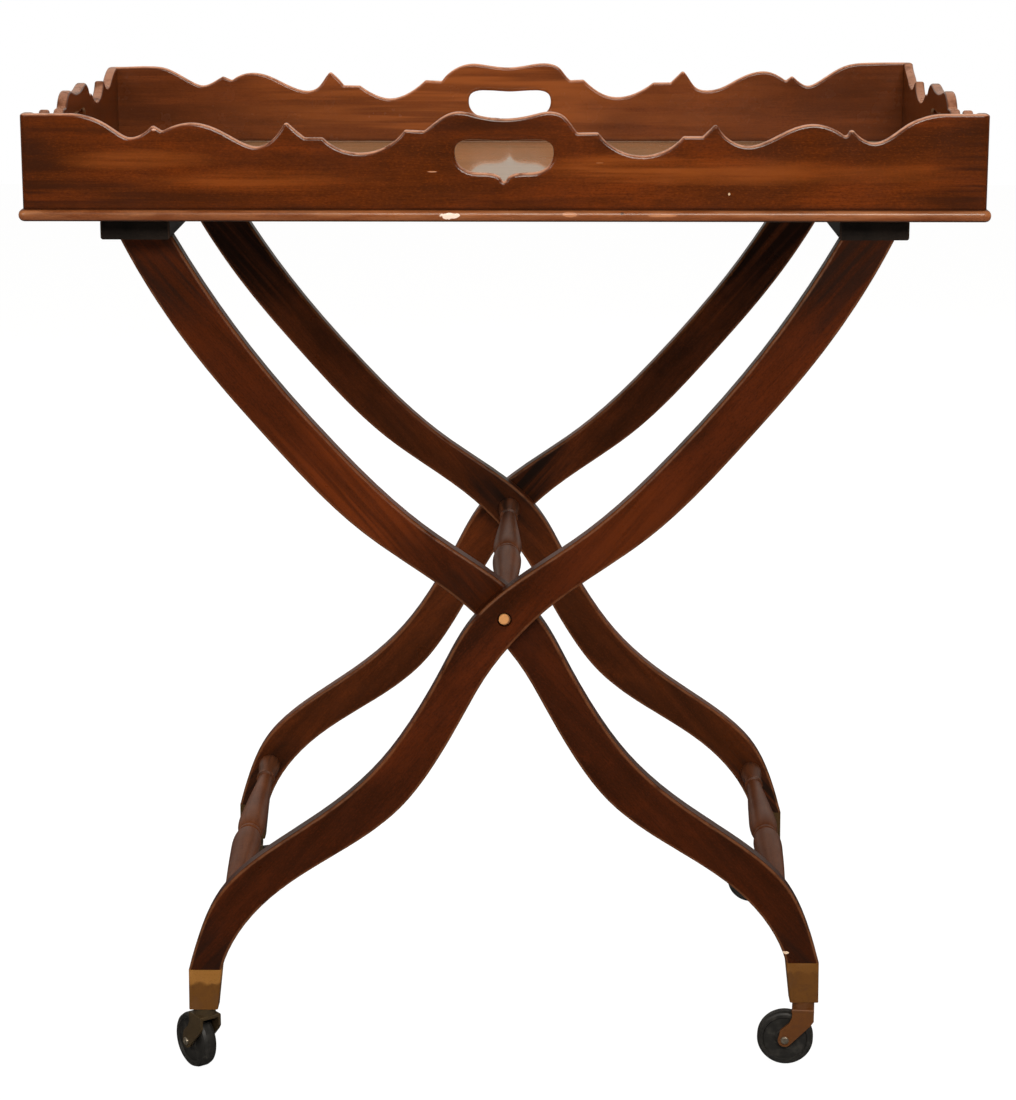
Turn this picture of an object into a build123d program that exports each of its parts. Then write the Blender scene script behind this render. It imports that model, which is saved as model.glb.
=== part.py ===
from build123d import *

import os

# Fits and cuts, in millimetres like every other length
overrun = 4.0
running_fit = 0.05
glue_gap = 0.05
seat_gap = 0.3

# The tray's board: a moulded edge all round and a raised field inside the galleries
tray_length = 800.0
tray_depth = 532.0
board_edge_thick = 10.0
board_edge_round = 4.6
board_corner_round = 6.0
board_lip = 3.5
board_field_rise = 7.5

# The galleries that stand in the board's rebate
gallery_thick = 9.0
gallery_rise = 79.5
gallery_edge_round = 2.4
gallery_corner_round = 6.0
cusp_round = 2.4
mitre_gap = 0.04

# The handholds, one through each gallery
handhold_width = 81.0
handhold_height = 34.0
handhold_sill = 23.0
handhold_edge_round = 3.0

# The screws that come up through the board into the galleries
tray_screw_radius = 1.6
tray_screw_length = 28.0
tray_screw_head_radius = 3.2
tray_screw_head_thick = 2.2
long_side_screw_count = 6
short_side_screw_count = 4
tray_screw_end_margin = 45.0

# The stand: two crossed frames that turn on one pivot
pivot_height = 418.0
upper_rise = 326.0
leg_reach = 264.0
leg_thick = 20.0
leg_edge_round = 3.0
frame_gap = 1.0
rail_length = 484.0
rail_width = 58.0
rail_thick = 16.0
rail_edge_round = 2.4
tenon_width = 30.0
tenon_thick = 10.0
tenon_height = 12.0
mortise_floor_gap = 0.5

# The turned stretchers
stretcher_radius = 13.2
stretcher_tenon_radius = 6.0
stretcher_tenon_length = 11.0

# The wooden pins that the two frames turn on
pin_radius = 5.0
pin_stretcher_depth = 24.0
pin_recess = 1.2
pin_eye_radius = 6.3
pin_eye_depth = 4.0

# The webbing straps across the rails and their tacks
strap_width = 50.0
strap_thick = 1.5
strap_turn_down = 12.0
strap_pitch = 165.0
strap_count = 3
tack_head_radius = 3.2
tack_head_thick = 1.3
tack_shank_radius = 0.9
tack_shank_length = 9.0
tacks_per_strap_end = 3
tack_pitch = 16.0

# The brass casters
foot_width = 29.2
cup_height = 37.6
cup_wall = 1.2
cup_floor_thick = 3.0
cup_taper_width = 3.8
cup_taper_thick = 1.6
cup_lean = 2.4
cup_corner_round = 1.6
cup_screw_radius = 1.3
cup_screw_length = 7.0
cup_screw_head_radius = 2.7
cup_screw_head_thick = 1.2
wheel_radius = 25.0
wheel_width = 14.5
wheel_bore_radius = 2.05
axle_radius = 2.0
axle_head_radius = 3.6
axle_head_thick = 1.7
caster_trail = 15.5
fork_width = 19.8
fork_wheel_gap = 1.5
fork_crown_thick = 3.2
fork_crown_round = 1.4
fork_neck_radius = 9.8
fork_neck_height = 6.0
fork_cheek_thick = 2.4
fork_side_gap = 0.9
fork_eye_radius = 6.2
fork_stem_radius = 3.2
fork_stem_head_radius = 4.8
fork_stem_head_thick = 2.4

# Where each caster trails in the photograph, in degrees from +X towards +Y
front_left_trail_angle = 128.0
front_right_trail_angle = 174.0
back_left_trail_angle = 4.0
back_right_trail_angle = 180.0

# Outline of the front gallery's top, from left to right: shares of its half length and of its rise
front_gallery_shares = (
    ((-1.0, 0.98), (-0.905, 0.98)),
    ((-0.905, 0.98), (-0.862, 0.955), (-0.822, 0.870), (-0.797, 0.785), (-0.775, 0.735),
     (-0.755, 0.754), (-0.726, 0.862)),
    ((-0.726, 0.862), (-0.706, 0.800)),
    ((-0.706, 0.800), (-0.678, 0.860), (-0.642, 0.885), (-0.612, 0.857), (-0.568, 0.755),
     (-0.530, 0.660), (-0.512, 0.642), (-0.492, 0.670), (-0.468, 0.770), (-0.451, 0.905)),
    ((-0.451, 0.905), (-0.433, 0.820), (-0.412, 0.735)),
    ((-0.412, 0.735), (-0.375, 0.735)),
    ((-0.375, 0.735), (-0.345, 0.630), (-0.298, 0.578), (-0.250, 0.630), (-0.205, 0.815)),
    ((-0.205, 0.815), (-0.165, 0.805)),
    ((-0.165, 0.805), (-0.142, 0.895), (-0.120, 0.968), (-0.098, 1.000), (-0.055, 0.965), (0.0, 0.930),
     (0.055, 0.965), (0.100, 1.000), (0.122, 0.960), (0.138, 0.872), (0.151, 0.785)),
    ((0.151, 0.785), (0.194, 0.790)),
    ((0.194, 0.790), (0.225, 0.640), (0.280, 0.552), (0.330, 0.600), (0.370, 0.750)),
    ((0.370, 0.750), (0.410, 0.750)),
    ((0.410, 0.750), (0.438, 0.885)),
    ((0.438, 0.885), (0.460, 0.735), (0.500, 0.652), (0.550, 0.720), (0.600, 0.840),
     (0.640, 0.875), (0.670, 0.845), (0.705, 0.745)),
    ((0.705, 0.745), (0.716, 0.838)),
    ((0.716, 0.838), (0.738, 0.730), (0.762, 0.688), (0.790, 0.730), (0.830, 0.870),
     (0.870, 0.955), (0.910, 0.980)),
    ((0.910, 0.980), (1.0, 0.980)),
)

# Outline of the back gallery's top, which its maker cut a little higher, worked in the same way
back_gallery_shares = (
    ((-1.0, 1.0), (-0.960, 1.0)),
    ((-0.960, 1.0), (-0.919, 1.008), (-0.886, 1.006), (-0.861, 0.990), (-0.840, 0.950),
     (-0.815, 0.882), (-0.790, 0.812), (-0.765, 0.773), (-0.736, 0.825), (-0.715, 0.885)),
    ((-0.715, 0.885), (-0.692, 0.838)),
    ((-0.692, 0.838), (-0.678, 0.885), (-0.645, 0.928), (-0.603, 0.895), (-0.562, 0.800),
     (-0.524, 0.722), (-0.500, 0.708), (-0.481, 0.740), (-0.462, 0.850), (-0.447, 0.945)),
    ((-0.447, 0.945), (-0.430, 0.872), (-0.413, 0.776)),
    ((-0.413, 0.776), (-0.373, 0.772)),
    ((-0.373, 0.772), (-0.345, 0.682), (-0.298, 0.614), (-0.246, 0.700), (-0.210, 0.840)),
    ((-0.210, 0.840), (-0.169, 0.829)),
    ((-0.169, 0.829), (-0.142, 0.962), (-0.095, 1.042), (-0.055, 1.022), (0.0, 0.996),
     (0.041, 1.020), (0.090, 1.047), (0.124, 0.990), (0.138, 0.905), (0.151, 0.840)),
    ((0.151, 0.840), (0.184, 0.848)),
    ((0.184, 0.848), (0.205, 0.755), (0.240, 0.655), (0.273, 0.632), (0.307, 0.668), (0.358, 0.812)),
    ((0.358, 0.812), (0.401, 0.814)),
    ((0.401, 0.814), (0.431, 0.960)),
    ((0.431, 0.960), (0.446, 0.865), (0.466, 0.745), (0.492, 0.715), (0.527, 0.749), (0.568, 0.857),
     (0.610, 0.938), (0.640, 0.948), (0.666, 0.905), (0.687, 0.837)),
    ((0.687, 0.837), (0.703, 0.897)),
    ((0.703, 0.897), (0.720, 0.825), (0.741, 0.775), (0.765, 0.815), (0.797, 0.920),
     (0.836, 1.020), (0.885, 1.056), (0.940, 1.060)),
    ((0.940, 1.060), (1.0, 1.060)),
)

# Outline of an end gallery's top, from the front corner to where it rises to the back corner
end_gallery_shares = (
    ((-1.0, 0.98), (-0.955, 0.98)),
    ((-0.955, 0.98), (-0.905, 0.968), (-0.860, 0.935), (-0.815, 0.880), (-0.775, 0.830),
     (-0.735, 0.805), (-0.695, 0.815), (-0.655, 0.860), (-0.615, 0.925)),
    ((-0.615, 0.925), (-0.590, 0.845), (-0.555, 0.780), (-0.510, 0.735), (-0.460, 0.718),
     (-0.410, 0.735), (-0.365, 0.780), (-0.325, 0.845)),
    ((-0.325, 0.845), (-0.270, 0.850)),
    ((-0.270, 0.850), (-0.235, 0.950), (-0.190, 1.000), (-0.095, 0.970), (0.0, 0.945), (0.095, 0.970),
     (0.190, 1.000), (0.235, 0.950), (0.270, 0.850)),
    ((0.270, 0.850), (0.325, 0.845)),
    ((0.325, 0.845), (0.365, 0.780), (0.410, 0.735), (0.460, 0.718), (0.510, 0.735), (0.555, 0.780),
     (0.590, 0.845), (0.615, 0.925)),
)
end_gallery_corner_shares = (
    (0.615, 0.925), (0.655, 0.860), (0.695, 0.815), (0.735, 0.805), (0.775, 0.825), (0.815, 0.872),
    (0.860, 0.930), (0.905, 0.975),
)
end_gallery_flat_share = 0.955

# Outline of half a handhold, from its point at the foot to the middle of its top
handhold_shares = (
    (0.0, 0.0), (0.035, 0.022), (0.075, 0.085), (0.190, 0.170), (0.450, 0.205), (0.680, 0.230),
    (0.870, 0.340), (0.975, 0.510), (1.0, 0.700), (0.955, 0.880), (0.820, 0.975), (0.600, 1.0),
    (0.300, 0.985), (0.0, 0.965),
)

# Outline of a leg about the pivot: shares of its reach, and of its rise above or its drop below
leg_hollow_side_shares = (
    (1.056, 1.0), (0.818, 0.706), (0.562, 0.460), (0.239, 0.215), (-0.008, 0.074), (-0.108, -0.006),
    (-0.214, -0.157), (-0.300, -0.282), (-0.409, -0.407), (-0.572, -0.532), (-0.790, -0.658),
    (-0.950, -0.783), (-1.022, -0.908), (-1.055, -1.0),
)
leg_outer_side_shares = (
    (1.227, 1.0), (1.007, 0.706), (0.757, 0.460), (0.457, 0.215), (0.122, 0.015), (0.014, -0.078),
    (-0.058, -0.157), (-0.143, -0.282), (-0.230, -0.407), (-0.344, -0.532), (-0.544, -0.658),
    (-0.765, -0.783), (-0.896, -0.908), (-0.945, -1.0),
)

# Where a rail's inner face and a lower stretcher meet the legs: shares of the leg's reach and of its drop
rail_inner_face_share = 1.053
stretcher_place_shares = (-0.9356, -0.8641)

# Half of a stretcher's turning, from its middle to its end: shares of its half length and its radius
stretcher_bead_shares = ((0.0, 0.82), (0.012, 0.80), (0.020, 0.70))
stretcher_vase_shares = (
    (0.020, 0.70), (0.036, 0.83), (0.066, 0.94), (0.115, 1.0), (0.240, 0.960), (0.450, 0.800),
    (0.650, 0.620), (0.775, 0.530),
)
stretcher_ring_shares = ((0.775, 0.530), (0.780, 0.68), (0.800, 0.68), (0.805, 0.530))
stretcher_end_shares = ((0.805, 0.530), (0.860, 0.620), (0.930, 0.760), (1.0, 0.800))

# Outline of a fork's cheek below its crown: shares of half its width and of the wheel's radius
cheek_shares = (
    (-1.0, 2.10), (-1.0, 1.74), (-0.72, 1.58), (1.10, 0.836), (2.11, 1.12), (2.0, 1.36),
    (1.26, 1.62), (0.96, 1.84), (0.96, 2.10),
)

# Half of a wheel's section: shares of its radius and of its half width
wheel_section_shares = (
    (0.30, 0.92), (0.36, 0.74), (0.76, 0.74), (0.80, 0.96), (0.90, 0.96), (0.96, 0.82), (1.0, 0.45),
)

# Places worked out from the sizes above
crown_underside = 2 * wheel_radius + fork_wheel_gap
cup_bottom = crown_underside + fork_crown_thick + fork_neck_height + seat_gap
cup_top = cup_bottom + cup_height
lower_drop = pivot_height - cup_top
rail_underside = pivot_height + upper_rise
rail_top = rail_underside + rail_thick
board_bottom = rail_top + strap_thick
board_edge_top = board_bottom + board_edge_thick
gallery_half_length = tray_length / 2 - board_lip
gallery_half_depth = tray_depth / 2 - board_lip
stand_face = rail_length / 2
outer_leg_inner_face = stand_face - leg_thick
inner_leg_outer_face = outer_leg_inner_face - frame_gap
inner_leg_inner_face = inner_leg_outer_face - leg_thick
rail_inner_face = leg_reach * rail_inner_face_share
rail_middle = rail_inner_face + rail_width / 2
rail_outer_face = rail_inner_face + rail_width
foot_top_middle = leg_reach
caster_reach = leg_reach + cup_lean
outer_leg_middle = stand_face - leg_thick / 2
inner_leg_middle = inner_leg_outer_face - leg_thick / 2

os.makedirs("parts", exist_ok=True)


def save(shape, name):
    """Writes one piece under its own name."""
    solids = shape.solids()
    whole = solids[0] if len(solids) == 1 else Compound(children=list(solids))
    whole.label = name
    export_step(whole, "parts/" + name + ".step")


def drilled(shape, holes):
    """The same shape with holes cut one after another."""
    for hole in holes:
        shape = shape - hole
    return shape


def run_edges(points):
    """A straight line for two points and a smooth curve for more."""
    return Line(*points) if len(points) == 2 else Spline(*points)


def flipped(runs):
    """The same runs of an outline seen from behind."""
    return tuple(tuple((-x, z) for x, z in reversed(run)) for run in reversed(runs))


def end_runs(corner_share):
    """An end gallery's outline from front to back, ending level with the back gallery's corner."""
    flat = ((end_gallery_flat_share, corner_share), (1.0, corner_share))
    return end_gallery_shares + (end_gallery_corner_shares + flat[:1], flat)


def soften_corners(face, corners, radius):
    """Rounds the named corners of a flat outline."""
    for corner in corners:
        nearest = min(face.vertices(), key=lambda v: abs(v.X - corner[0]) + abs(v.Y - corner[1]))
        face = fillet([nearest], radius=radius).faces()[0]
    return face


def gallery_outline(runs, half_length):
    """The flat outline of one gallery with its shaped top."""
    scaled = [[(x * half_length, z * gallery_rise) for x, z in run] for run in runs]
    top = [run_edges(run) for run in scaled]
    left, right = scaled[0][0], scaled[-1][-1]
    foot = [Line(right, (right[0], 0)), Line((right[0], 0), (left[0], 0)), Line((left[0], 0), left)]
    face = make_face(Wire(top + foot))
    return soften_corners(face, [run[0] for run in scaled[1:]], cusp_round)


def handhold_outline():
    """The flat outline of a handhold, one closed smooth curve with its point at the foot."""
    right = [(x * handhold_width / 2, z * handhold_height) for x, z in handhold_shares]
    left = [(-x, z) for x, z in reversed(right[1:-1])]
    return make_face(Wire([Spline(*(right + left), periodic=True)]))


def gallery_wall(runs, half_length):
    """One gallery lying along X, with its foot at zero, its inner face at zero and its outer at -Y."""
    wall = extrude(Plane.XZ * gallery_outline(runs, half_length), gallery_thick)
    top_edges = [e for e in wall.edges() if is_top_edge(e, half_length)]
    wall = fillet(top_edges, radius=gallery_edge_round)
    hole = Plane.XZ * Pos(0, handhold_sill) * handhold_outline()
    wall = wall - extrude(hole, gallery_thick)
    rims = [e for e in wall.edges() if is_handhold_rim(e)]
    return fillet(rims, radius=handhold_edge_round)


def is_top_edge(edge, half_length):
    """True for an edge that runs along the shaped top on one face of a gallery."""
    box = edge.bounding_box()
    flat = box.size.Y < cusp_round / 100
    high = box.min.Z > gallery_rise / 4
    inside = abs(edge.center().X) < half_length - cusp_round / 100
    return flat and high and inside


def is_handhold_rim(edge):
    """True for an edge round the mouth of a handhold on one face of a gallery."""
    box = edge.bounding_box()
    flat = box.size.Y < cusp_round / 100
    in_width = max(abs(box.min.X), abs(box.max.X)) < handhold_width / 2 + cusp_round
    below_top = box.max.Z < handhold_sill + handhold_height + cusp_round
    above_foot = box.min.Z > handhold_sill - cusp_round
    return flat and in_width and below_top and above_foot and box.size.X > cusp_round / 100


def mitre_block(half_length, half_depth):
    """The block that keeps one wall of the galleries between its mitres, with rounded corners."""
    reach = gallery_thick + overrun
    wedge = Polyline(
        (-half_length - overrun + mitre_gap, -half_depth - overrun),
        (half_length + overrun - mitre_gap, -half_depth - overrun),
        (half_length - reach - mitre_gap, -half_depth + reach),
        (-half_length + reach + mitre_gap, -half_depth + reach),
        close=True,
    )
    plan = RectangleRounded(2 * half_length, 2 * half_depth, gallery_corner_round)
    low = Pos(0, 0, -overrun)
    tall = 2 * gallery_rise
    return low * extrude(make_face(wedge), tall) & low * extrude(plan, tall)


def gallery(runs, half_length, half_depth):
    """A mitred gallery in place as if it were the front one, with its foot at zero."""
    wall = Pos(0, -half_depth + gallery_thick, 0) * gallery_wall(runs, half_length)
    wall = wall & mitre_block(half_length, half_depth)
    for side, corner in ((-1, runs[0][0]), (1, runs[-1][-1])):
        middle_x = side * (half_length - gallery_corner_round)
        middle = Pos(middle_x, -half_depth + gallery_corner_round, corner[1] * gallery_rise)
        wall = wall - middle * corner_cutter(side)
    return wall


def corner_cutter(side):
    """What rounds the top edge of an outer corner, +1 right or -1 left, about that corner's axis."""
    inner = gallery_corner_round - gallery_edge_round
    outer = gallery_corner_round + overrun
    section = Polyline((inner, 0), (inner, overrun), (outer, overrun), (outer, -gallery_edge_round),
                       (gallery_corner_round, -gallery_edge_round))
    hollow = RadiusArc((gallery_corner_round, -gallery_edge_round), (inner, 0), -gallery_edge_round)
    face = Plane.XZ * make_face(Wire(section.edges() + hollow.edges()))
    quarter = revolve(face, Axis.Z, 90)
    return Rot(0, 0, -90 if side > 0 else 180) * quarter


def screw(shank_radius, length, head_radius, head_thick):
    """A countersunk wood screw with its flat head at zero and its point down -Z."""
    head = Pos(0, 0, -head_thick / 2) * Cone(shank_radius, head_radius, head_thick)
    plain = length - head_thick - head_radius
    shank = Pos(0, 0, -head_thick - plain / 2) * Cylinder(shank_radius, plain)
    tip = Pos(0, 0, -length + head_radius / 2) * Cone(shank_radius / 4, shank_radius, head_radius)
    slot = Box(head_radius * 2, head_thick / 3, head_thick / 2)
    return head + shank + tip - slot


def screw_hole(shank_radius, length, head_radius, head_thick):
    """The hole that holds such a screw, a glue gap wider, its countersink running on above zero."""
    wide_end = 2 * head_radius - shank_radius + glue_gap
    head = Cone(shank_radius + glue_gap, wide_end, 2 * head_thick)
    bore = Pos(0, 0, -length / 2) * Cylinder(shank_radius + glue_gap, length + glue_gap)
    return head + bore


def evenly(half_span, count):
    """Places spread evenly from one end of a span to the other."""
    return [half_span * (2 * i / (count - 1) - 1) for i in range(count)]


def tray_screw_places():
    """Where the screws enter the board's underside."""
    row_y = gallery_half_depth - gallery_thick / 2
    row_x = gallery_half_length - gallery_thick / 2
    along = evenly(gallery_half_length - tray_screw_end_margin, long_side_screw_count)
    across = evenly(gallery_half_depth - tray_screw_end_margin, short_side_screw_count)
    sides = [(x, y) for x in along for y in (-row_y, row_y)]
    ends = [(x, y) for y in across for x in (-row_x, row_x)]
    return sides + ends


def build_tray():
    """The board, its four galleries and the screws that hold them."""
    sizes = (tray_screw_radius, tray_screw_length, tray_screw_head_radius, tray_screw_head_thick)
    places = [Pos(x, y, 0) * Rot(180, 0, 0) for x, y in tray_screw_places()]
    seat = Pos(0, 0, board_bottom)
    screws = [seat * place * screw(*sizes) for place in places]
    board_holes = [place * screw_hole(*sizes) for place in places]
    holes = [seat * hole for hole in board_holes]

    slab = extrude(RectangleRounded(tray_length, tray_depth, board_corner_round), board_edge_thick)
    rims = [e for e in slab.edges() if e.bounding_box().size.Z < cusp_round / 100]
    slab = fillet(rims, radius=board_edge_round)
    field_length = 2 * (gallery_half_length - gallery_thick - glue_gap)
    field_depth = 2 * (gallery_half_depth - gallery_thick - glue_gap)
    field_height = board_edge_thick / 2 + board_field_rise
    field = Pos(0, 0, board_edge_thick / 2 + field_height / 2) * Box(field_length, field_depth, field_height)
    save(seat * (drilled(slab, board_holes) + field), "base_board")
    save(Compound(children=screws), "tray_screws")

    left_runs = flipped(end_runs(back_gallery_shares[0][0][1]))
    right_runs = end_runs(back_gallery_shares[-1][-1][1])
    lift = Pos(0, 0, board_edge_top)
    front = gallery(front_gallery_shares, gallery_half_length, gallery_half_depth)
    back = gallery(back_gallery_shares, gallery_half_length, gallery_half_depth)
    left = gallery(left_runs, gallery_half_depth, gallery_half_length)
    right = gallery(right_runs, gallery_half_depth, gallery_half_length)
    save(drilled(lift * front, holes), "gallery_front")
    save(drilled(lift * mirror(back, Plane.XZ), holes), "gallery_back")
    save(drilled(lift * Rot(0, 0, -90) * left, holes), "gallery_left")
    save(drilled(lift * Rot(0, 0, 90) * right, holes), "gallery_right")


def leg_point(share):
    """A point of a leg's outline about the pivot."""
    x_share, z_share = share
    height = upper_rise if z_share > 0 else lower_drop
    return (x_share * leg_reach, z_share * height)


def foot_section(width, thick, middle_x, height):
    """A flat section of a foot or of its cup, at a height above the floor."""
    return Pos(middle_x, 0, height) * Rectangle(width, thick)


def foot_block(inset):
    """The tapered end of the outer frame's leg, smaller all round by an inset."""
    top = foot_section(foot_width - 2 * inset, leg_thick - 2 * inset, -foot_top_middle, cup_top)
    small_width = foot_width - cup_taper_width - 2 * inset
    small_thick = leg_thick - cup_taper_thick - 2 * inset
    low = foot_section(small_width, small_thick, -caster_reach, cup_bottom)
    return loft([top, low])


def leg():
    """The outer frame's leg about the pivot's axis, with its middle plane at zero."""
    hollow_side = [leg_point(s) for s in leg_hollow_side_shares]
    outer_side = [leg_point(s) for s in leg_outer_side_shares]
    outline = Wire([
        Spline(*hollow_side),
        Line(hollow_side[-1], outer_side[-1]),
        Spline(*reversed(outer_side)),
        Line(outer_side[0], hollow_side[0]),
    ])
    plank = Pos(0, leg_thick / 2, pivot_height) * extrude(Plane.XZ * make_face(outline), leg_thick)
    long_edges = [e for e in plank.edges() if e.bounding_box().size.Z > upper_rise]
    plank = fillet(long_edges, radius=leg_edge_round)

    peg = foot_block(cup_wall + glue_gap)
    peg = peg - Pos(-caster_reach, 0, cup_bottom) * Box(
        foot_width * 2, leg_thick * 2, 2 * (cup_floor_thick + glue_gap))
    stem_room = fork_stem_head_radius + seat_gap
    room_height = cup_floor_thick + fork_stem_head_thick + 4 * seat_gap
    peg = peg - Pos(-caster_reach, 0, cup_bottom + room_height / 2) * Cylinder(stem_room, room_height)
    tenon_middle = (hollow_side[0][0] + outer_side[0][0]) / 2
    tenon = Pos(tenon_middle, 0, rail_underside) * Box(tenon_width, tenon_thick, 2 * tenon_height)
    return plank + peg + tenon


def spindle(half_length, tenon_radius, tenon_length, end_bore_radius, end_bore_depth):
    """A turned stretcher along Y, alike both ways from its middle."""
    def place(share):
        return (share[1] * stretcher_radius, share[0] * half_length)

    runs = (stretcher_bead_shares, stretcher_vase_shares, stretcher_ring_shares, stretcher_end_shares)
    edges = []
    for run in runs:
        points = [place(share) for share in run]
        curve = Polyline(*points) if run is stretcher_ring_shares else run_edges(points)
        edges += curve.edges()
    end = place(stretcher_end_shares[-1])
    middle = place(stretcher_bead_shares[0])
    if tenon_length > 0:
        tail = Polyline(end, (tenon_radius, half_length), (tenon_radius, half_length + tenon_length),
                        (0, half_length + tenon_length), (0, 0), middle)
    else:
        tail = Polyline(end, (0, half_length), (0, 0), middle)
    half = revolve(make_face(Wire(edges + tail.edges())), Axis.Y)
    if end_bore_depth > 0:
        bore = Pos(0, half_length, 0) * Rot(90, 0, 0) * Cylinder(end_bore_radius, 2 * end_bore_depth)
        half = half - bore
    return half + mirror(half, Plane.XZ)


def rail(side, tack_holes):
    """A top rail on one side, +1 right or -1 left, mortised for its two legs' tenons."""
    middle = Pos(side * rail_middle, 0, rail_underside + rail_thick / 2)
    block = middle * Box(rail_width, rail_length, rail_thick)
    long_edges = [e for e in block.edges() if e.bounding_box().size.Y > rail_length / 2]
    end_edges = [e for e in block.edges() if e.bounding_box().size.Z > rail_thick / 2]
    block = fillet(long_edges + end_edges, radius=rail_edge_round)
    middle_y = outer_leg_middle if side > 0 else inner_leg_middle
    tenon_middle = (leg_hollow_side_shares[0][0] + leg_outer_side_shares[0][0]) / 2 * leg_reach
    depth = 2 * (tenon_height + mortise_floor_gap)
    for y in (-middle_y, middle_y):
        mortise = Box(tenon_width + 2 * glue_gap, tenon_thick + 2 * glue_gap, depth)
        block = block - Pos(side * tenon_middle, y, rail_underside) * mortise
    return drilled(block, tack_holes)


def tack_places(side):
    """Where the tacks go through the straps' ends into a rail's outer face."""
    height = rail_top - strap_turn_down / 2
    along = [y + step for y in strap_places() for step in evenly(tack_pitch, tacks_per_strap_end)]
    return [Pos(side * rail_outer_face, y, height) * Rot(0, side * 90, 0) for y in along]


def strap_places():
    """The middles of the straps along the rails."""
    return evenly(strap_pitch * (strap_count - 1) / 2, strap_count)


def tack():
    """A domed tack whose shank points down -Z from the face of the rail at zero."""
    dome = Pos(0, 0, strap_thick) * extrude(Circle(tack_head_radius), tack_head_thick)
    rim = [e for e in dome.edges() if e.center().Z > strap_thick + tack_head_thick / 2]
    dome = fillet(rim, radius=tack_head_thick * 0.8)
    shank_height = tack_shank_length + strap_thick
    shank = Pos(0, 0, strap_thick - shank_height / 2) * Cylinder(tack_shank_radius, shank_height)
    return dome + shank


def tack_hole(clearance):
    """The hole round a tack's shank."""
    height = 2 * (tack_shank_length + clearance)
    return Cylinder(tack_shank_radius + clearance, height)


def strap(y):
    """One webbing strap over both rails with its ends turned down their outer faces."""
    span = 2 * (rail_outer_face + strap_thick)
    top = Pos(0, y, rail_top + strap_thick / 2) * Box(span, strap_width, strap_thick)
    turn_height = strap_turn_down + strap_thick
    whole = top
    for side in (-1, 1):
        x = side * (rail_outer_face + strap_thick / 2)
        whole += Pos(x, y, board_bottom - turn_height / 2) * Box(strap_thick, strap_width, turn_height)
    return whole


def cup():
    """The outer frame's brass socket about the pivot's plane, open at the top."""
    shell = foot_block(0)
    uprights = [e for e in shell.edges() if e.bounding_box().size.Z > cup_height / 2]
    shell = fillet(uprights, radius=cup_corner_round)
    room = foot_block(cup_wall)
    floor = Pos(-caster_reach, 0, cup_bottom) * Box(foot_width * 2, leg_thick * 2, 2 * cup_floor_thick)
    bore = Pos(-caster_reach, 0, cup_bottom) * Cylinder(fork_stem_radius + running_fit, 4 * cup_floor_thick)
    return shell - (room - floor) - bore


def caster_parts(trail_angle):
    """A fork, its axle and its wheel about a swivel axis at zero, trailing at an angle from +X."""
    turn = Rot(0, 0, trail_angle)
    cheek_inner = wheel_width / 2 + fork_side_gap
    cheek_outer = cheek_inner + fork_cheek_thick
    axle_place = Pos(caster_trail, 0, wheel_radius) * Rot(90, 0, 0)
    neck_top = cup_bottom - seat_gap
    crown_top = neck_top - fork_neck_height
    crown = Pos(0, 0, crown_top - fork_crown_thick / 2) * Box(fork_width, 2 * cheek_outer, fork_crown_thick)
    brow = [e for e in crown.edges() if e.center().Z > crown_top - fork_crown_thick / 4]
    crown = fillet(brow, radius=fork_crown_round)
    neck = Pos(0, 0, neck_top - fork_neck_height / 2) * Cylinder(fork_neck_radius, fork_neck_height)

    corners = [(x * fork_width / 2, z * wheel_radius) for x, z in cheek_shares]
    outline = make_face(Polyline(*corners, close=True))
    outline = outline + Pos(caster_trail, wheel_radius) * Circle(fork_eye_radius)
    fork = crown + neck
    for side in (-1, 1):
        face_y = cheek_outer if side > 0 else -cheek_inner
        fork += Pos(0, face_y, 0) * extrude(Plane.XZ * outline, fork_cheek_thick)
    stem_top = cup_bottom + cup_floor_thick + seat_gap
    stem_height = stem_top - neck_top + fork_neck_height / 2
    fork += Pos(0, 0, stem_top - stem_height / 2) * Cylinder(fork_stem_radius, stem_height)
    head_middle = stem_top + fork_stem_head_thick / 2
    fork += Pos(0, 0, head_middle) * Cylinder(fork_stem_head_radius, fork_stem_head_thick)
    fork = fork - axle_place * Cylinder(axle_radius + glue_gap, 4 * cheek_outer)

    rod = Cylinder(axle_radius, 2 * cheek_outer)
    for side in (-1, 1):
        head = Cylinder(axle_head_radius, axle_head_thick)
        rim = [e for e in head.edges() if e.geom_type == GeomType.CIRCLE and e.center().Z * side > 0]
        head = fillet(rim, radius=axle_head_thick * 0.8)
        rod += Pos(0, 0, side * (cheek_outer + axle_head_thick / 2)) * head
    return turn * fork, turn * axle_place * rod, turn * axle_place * wheel()


def wheel():
    """A caster's wheel about Z: a raised outer ring, a hollowed face and a hub with its bore."""
    side = [(r * wheel_radius, h * wheel_width / 2) for r, h in wheel_section_shares]
    other = [(r, -h) for r, h in reversed(side)]
    hub = (wheel_bore_radius, side[0][1])
    hub_low = (wheel_bore_radius, -side[0][1])
    face = make_face(Polyline(hub, *side, *other, hub_low, close=True))
    return revolve(Plane.XZ * face, Axis.Z)


def place_leg(piece, side, frame_middle):
    """Puts an outer frame's piece on the front (-1) or the back (+1) of its frame."""
    return Pos(0, side * frame_middle, 0) * piece


def cup_screw_places(frame_middle, side):
    """Where the screws enter a cup's inner face, in the outer frame's hand."""
    height = cup_bottom + cup_height * 0.62
    taper = cup_taper_thick / 2 * (cup_top - height) / cup_height
    face_y = side * (frame_middle - leg_thick / 2 + taper)
    return [Pos(-foot_top_middle - cup_lean / 2 + step, face_y, height) * Rot(side * 90, 0, 0)
            for step in (-foot_width / 5, foot_width / 5)]


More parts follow.
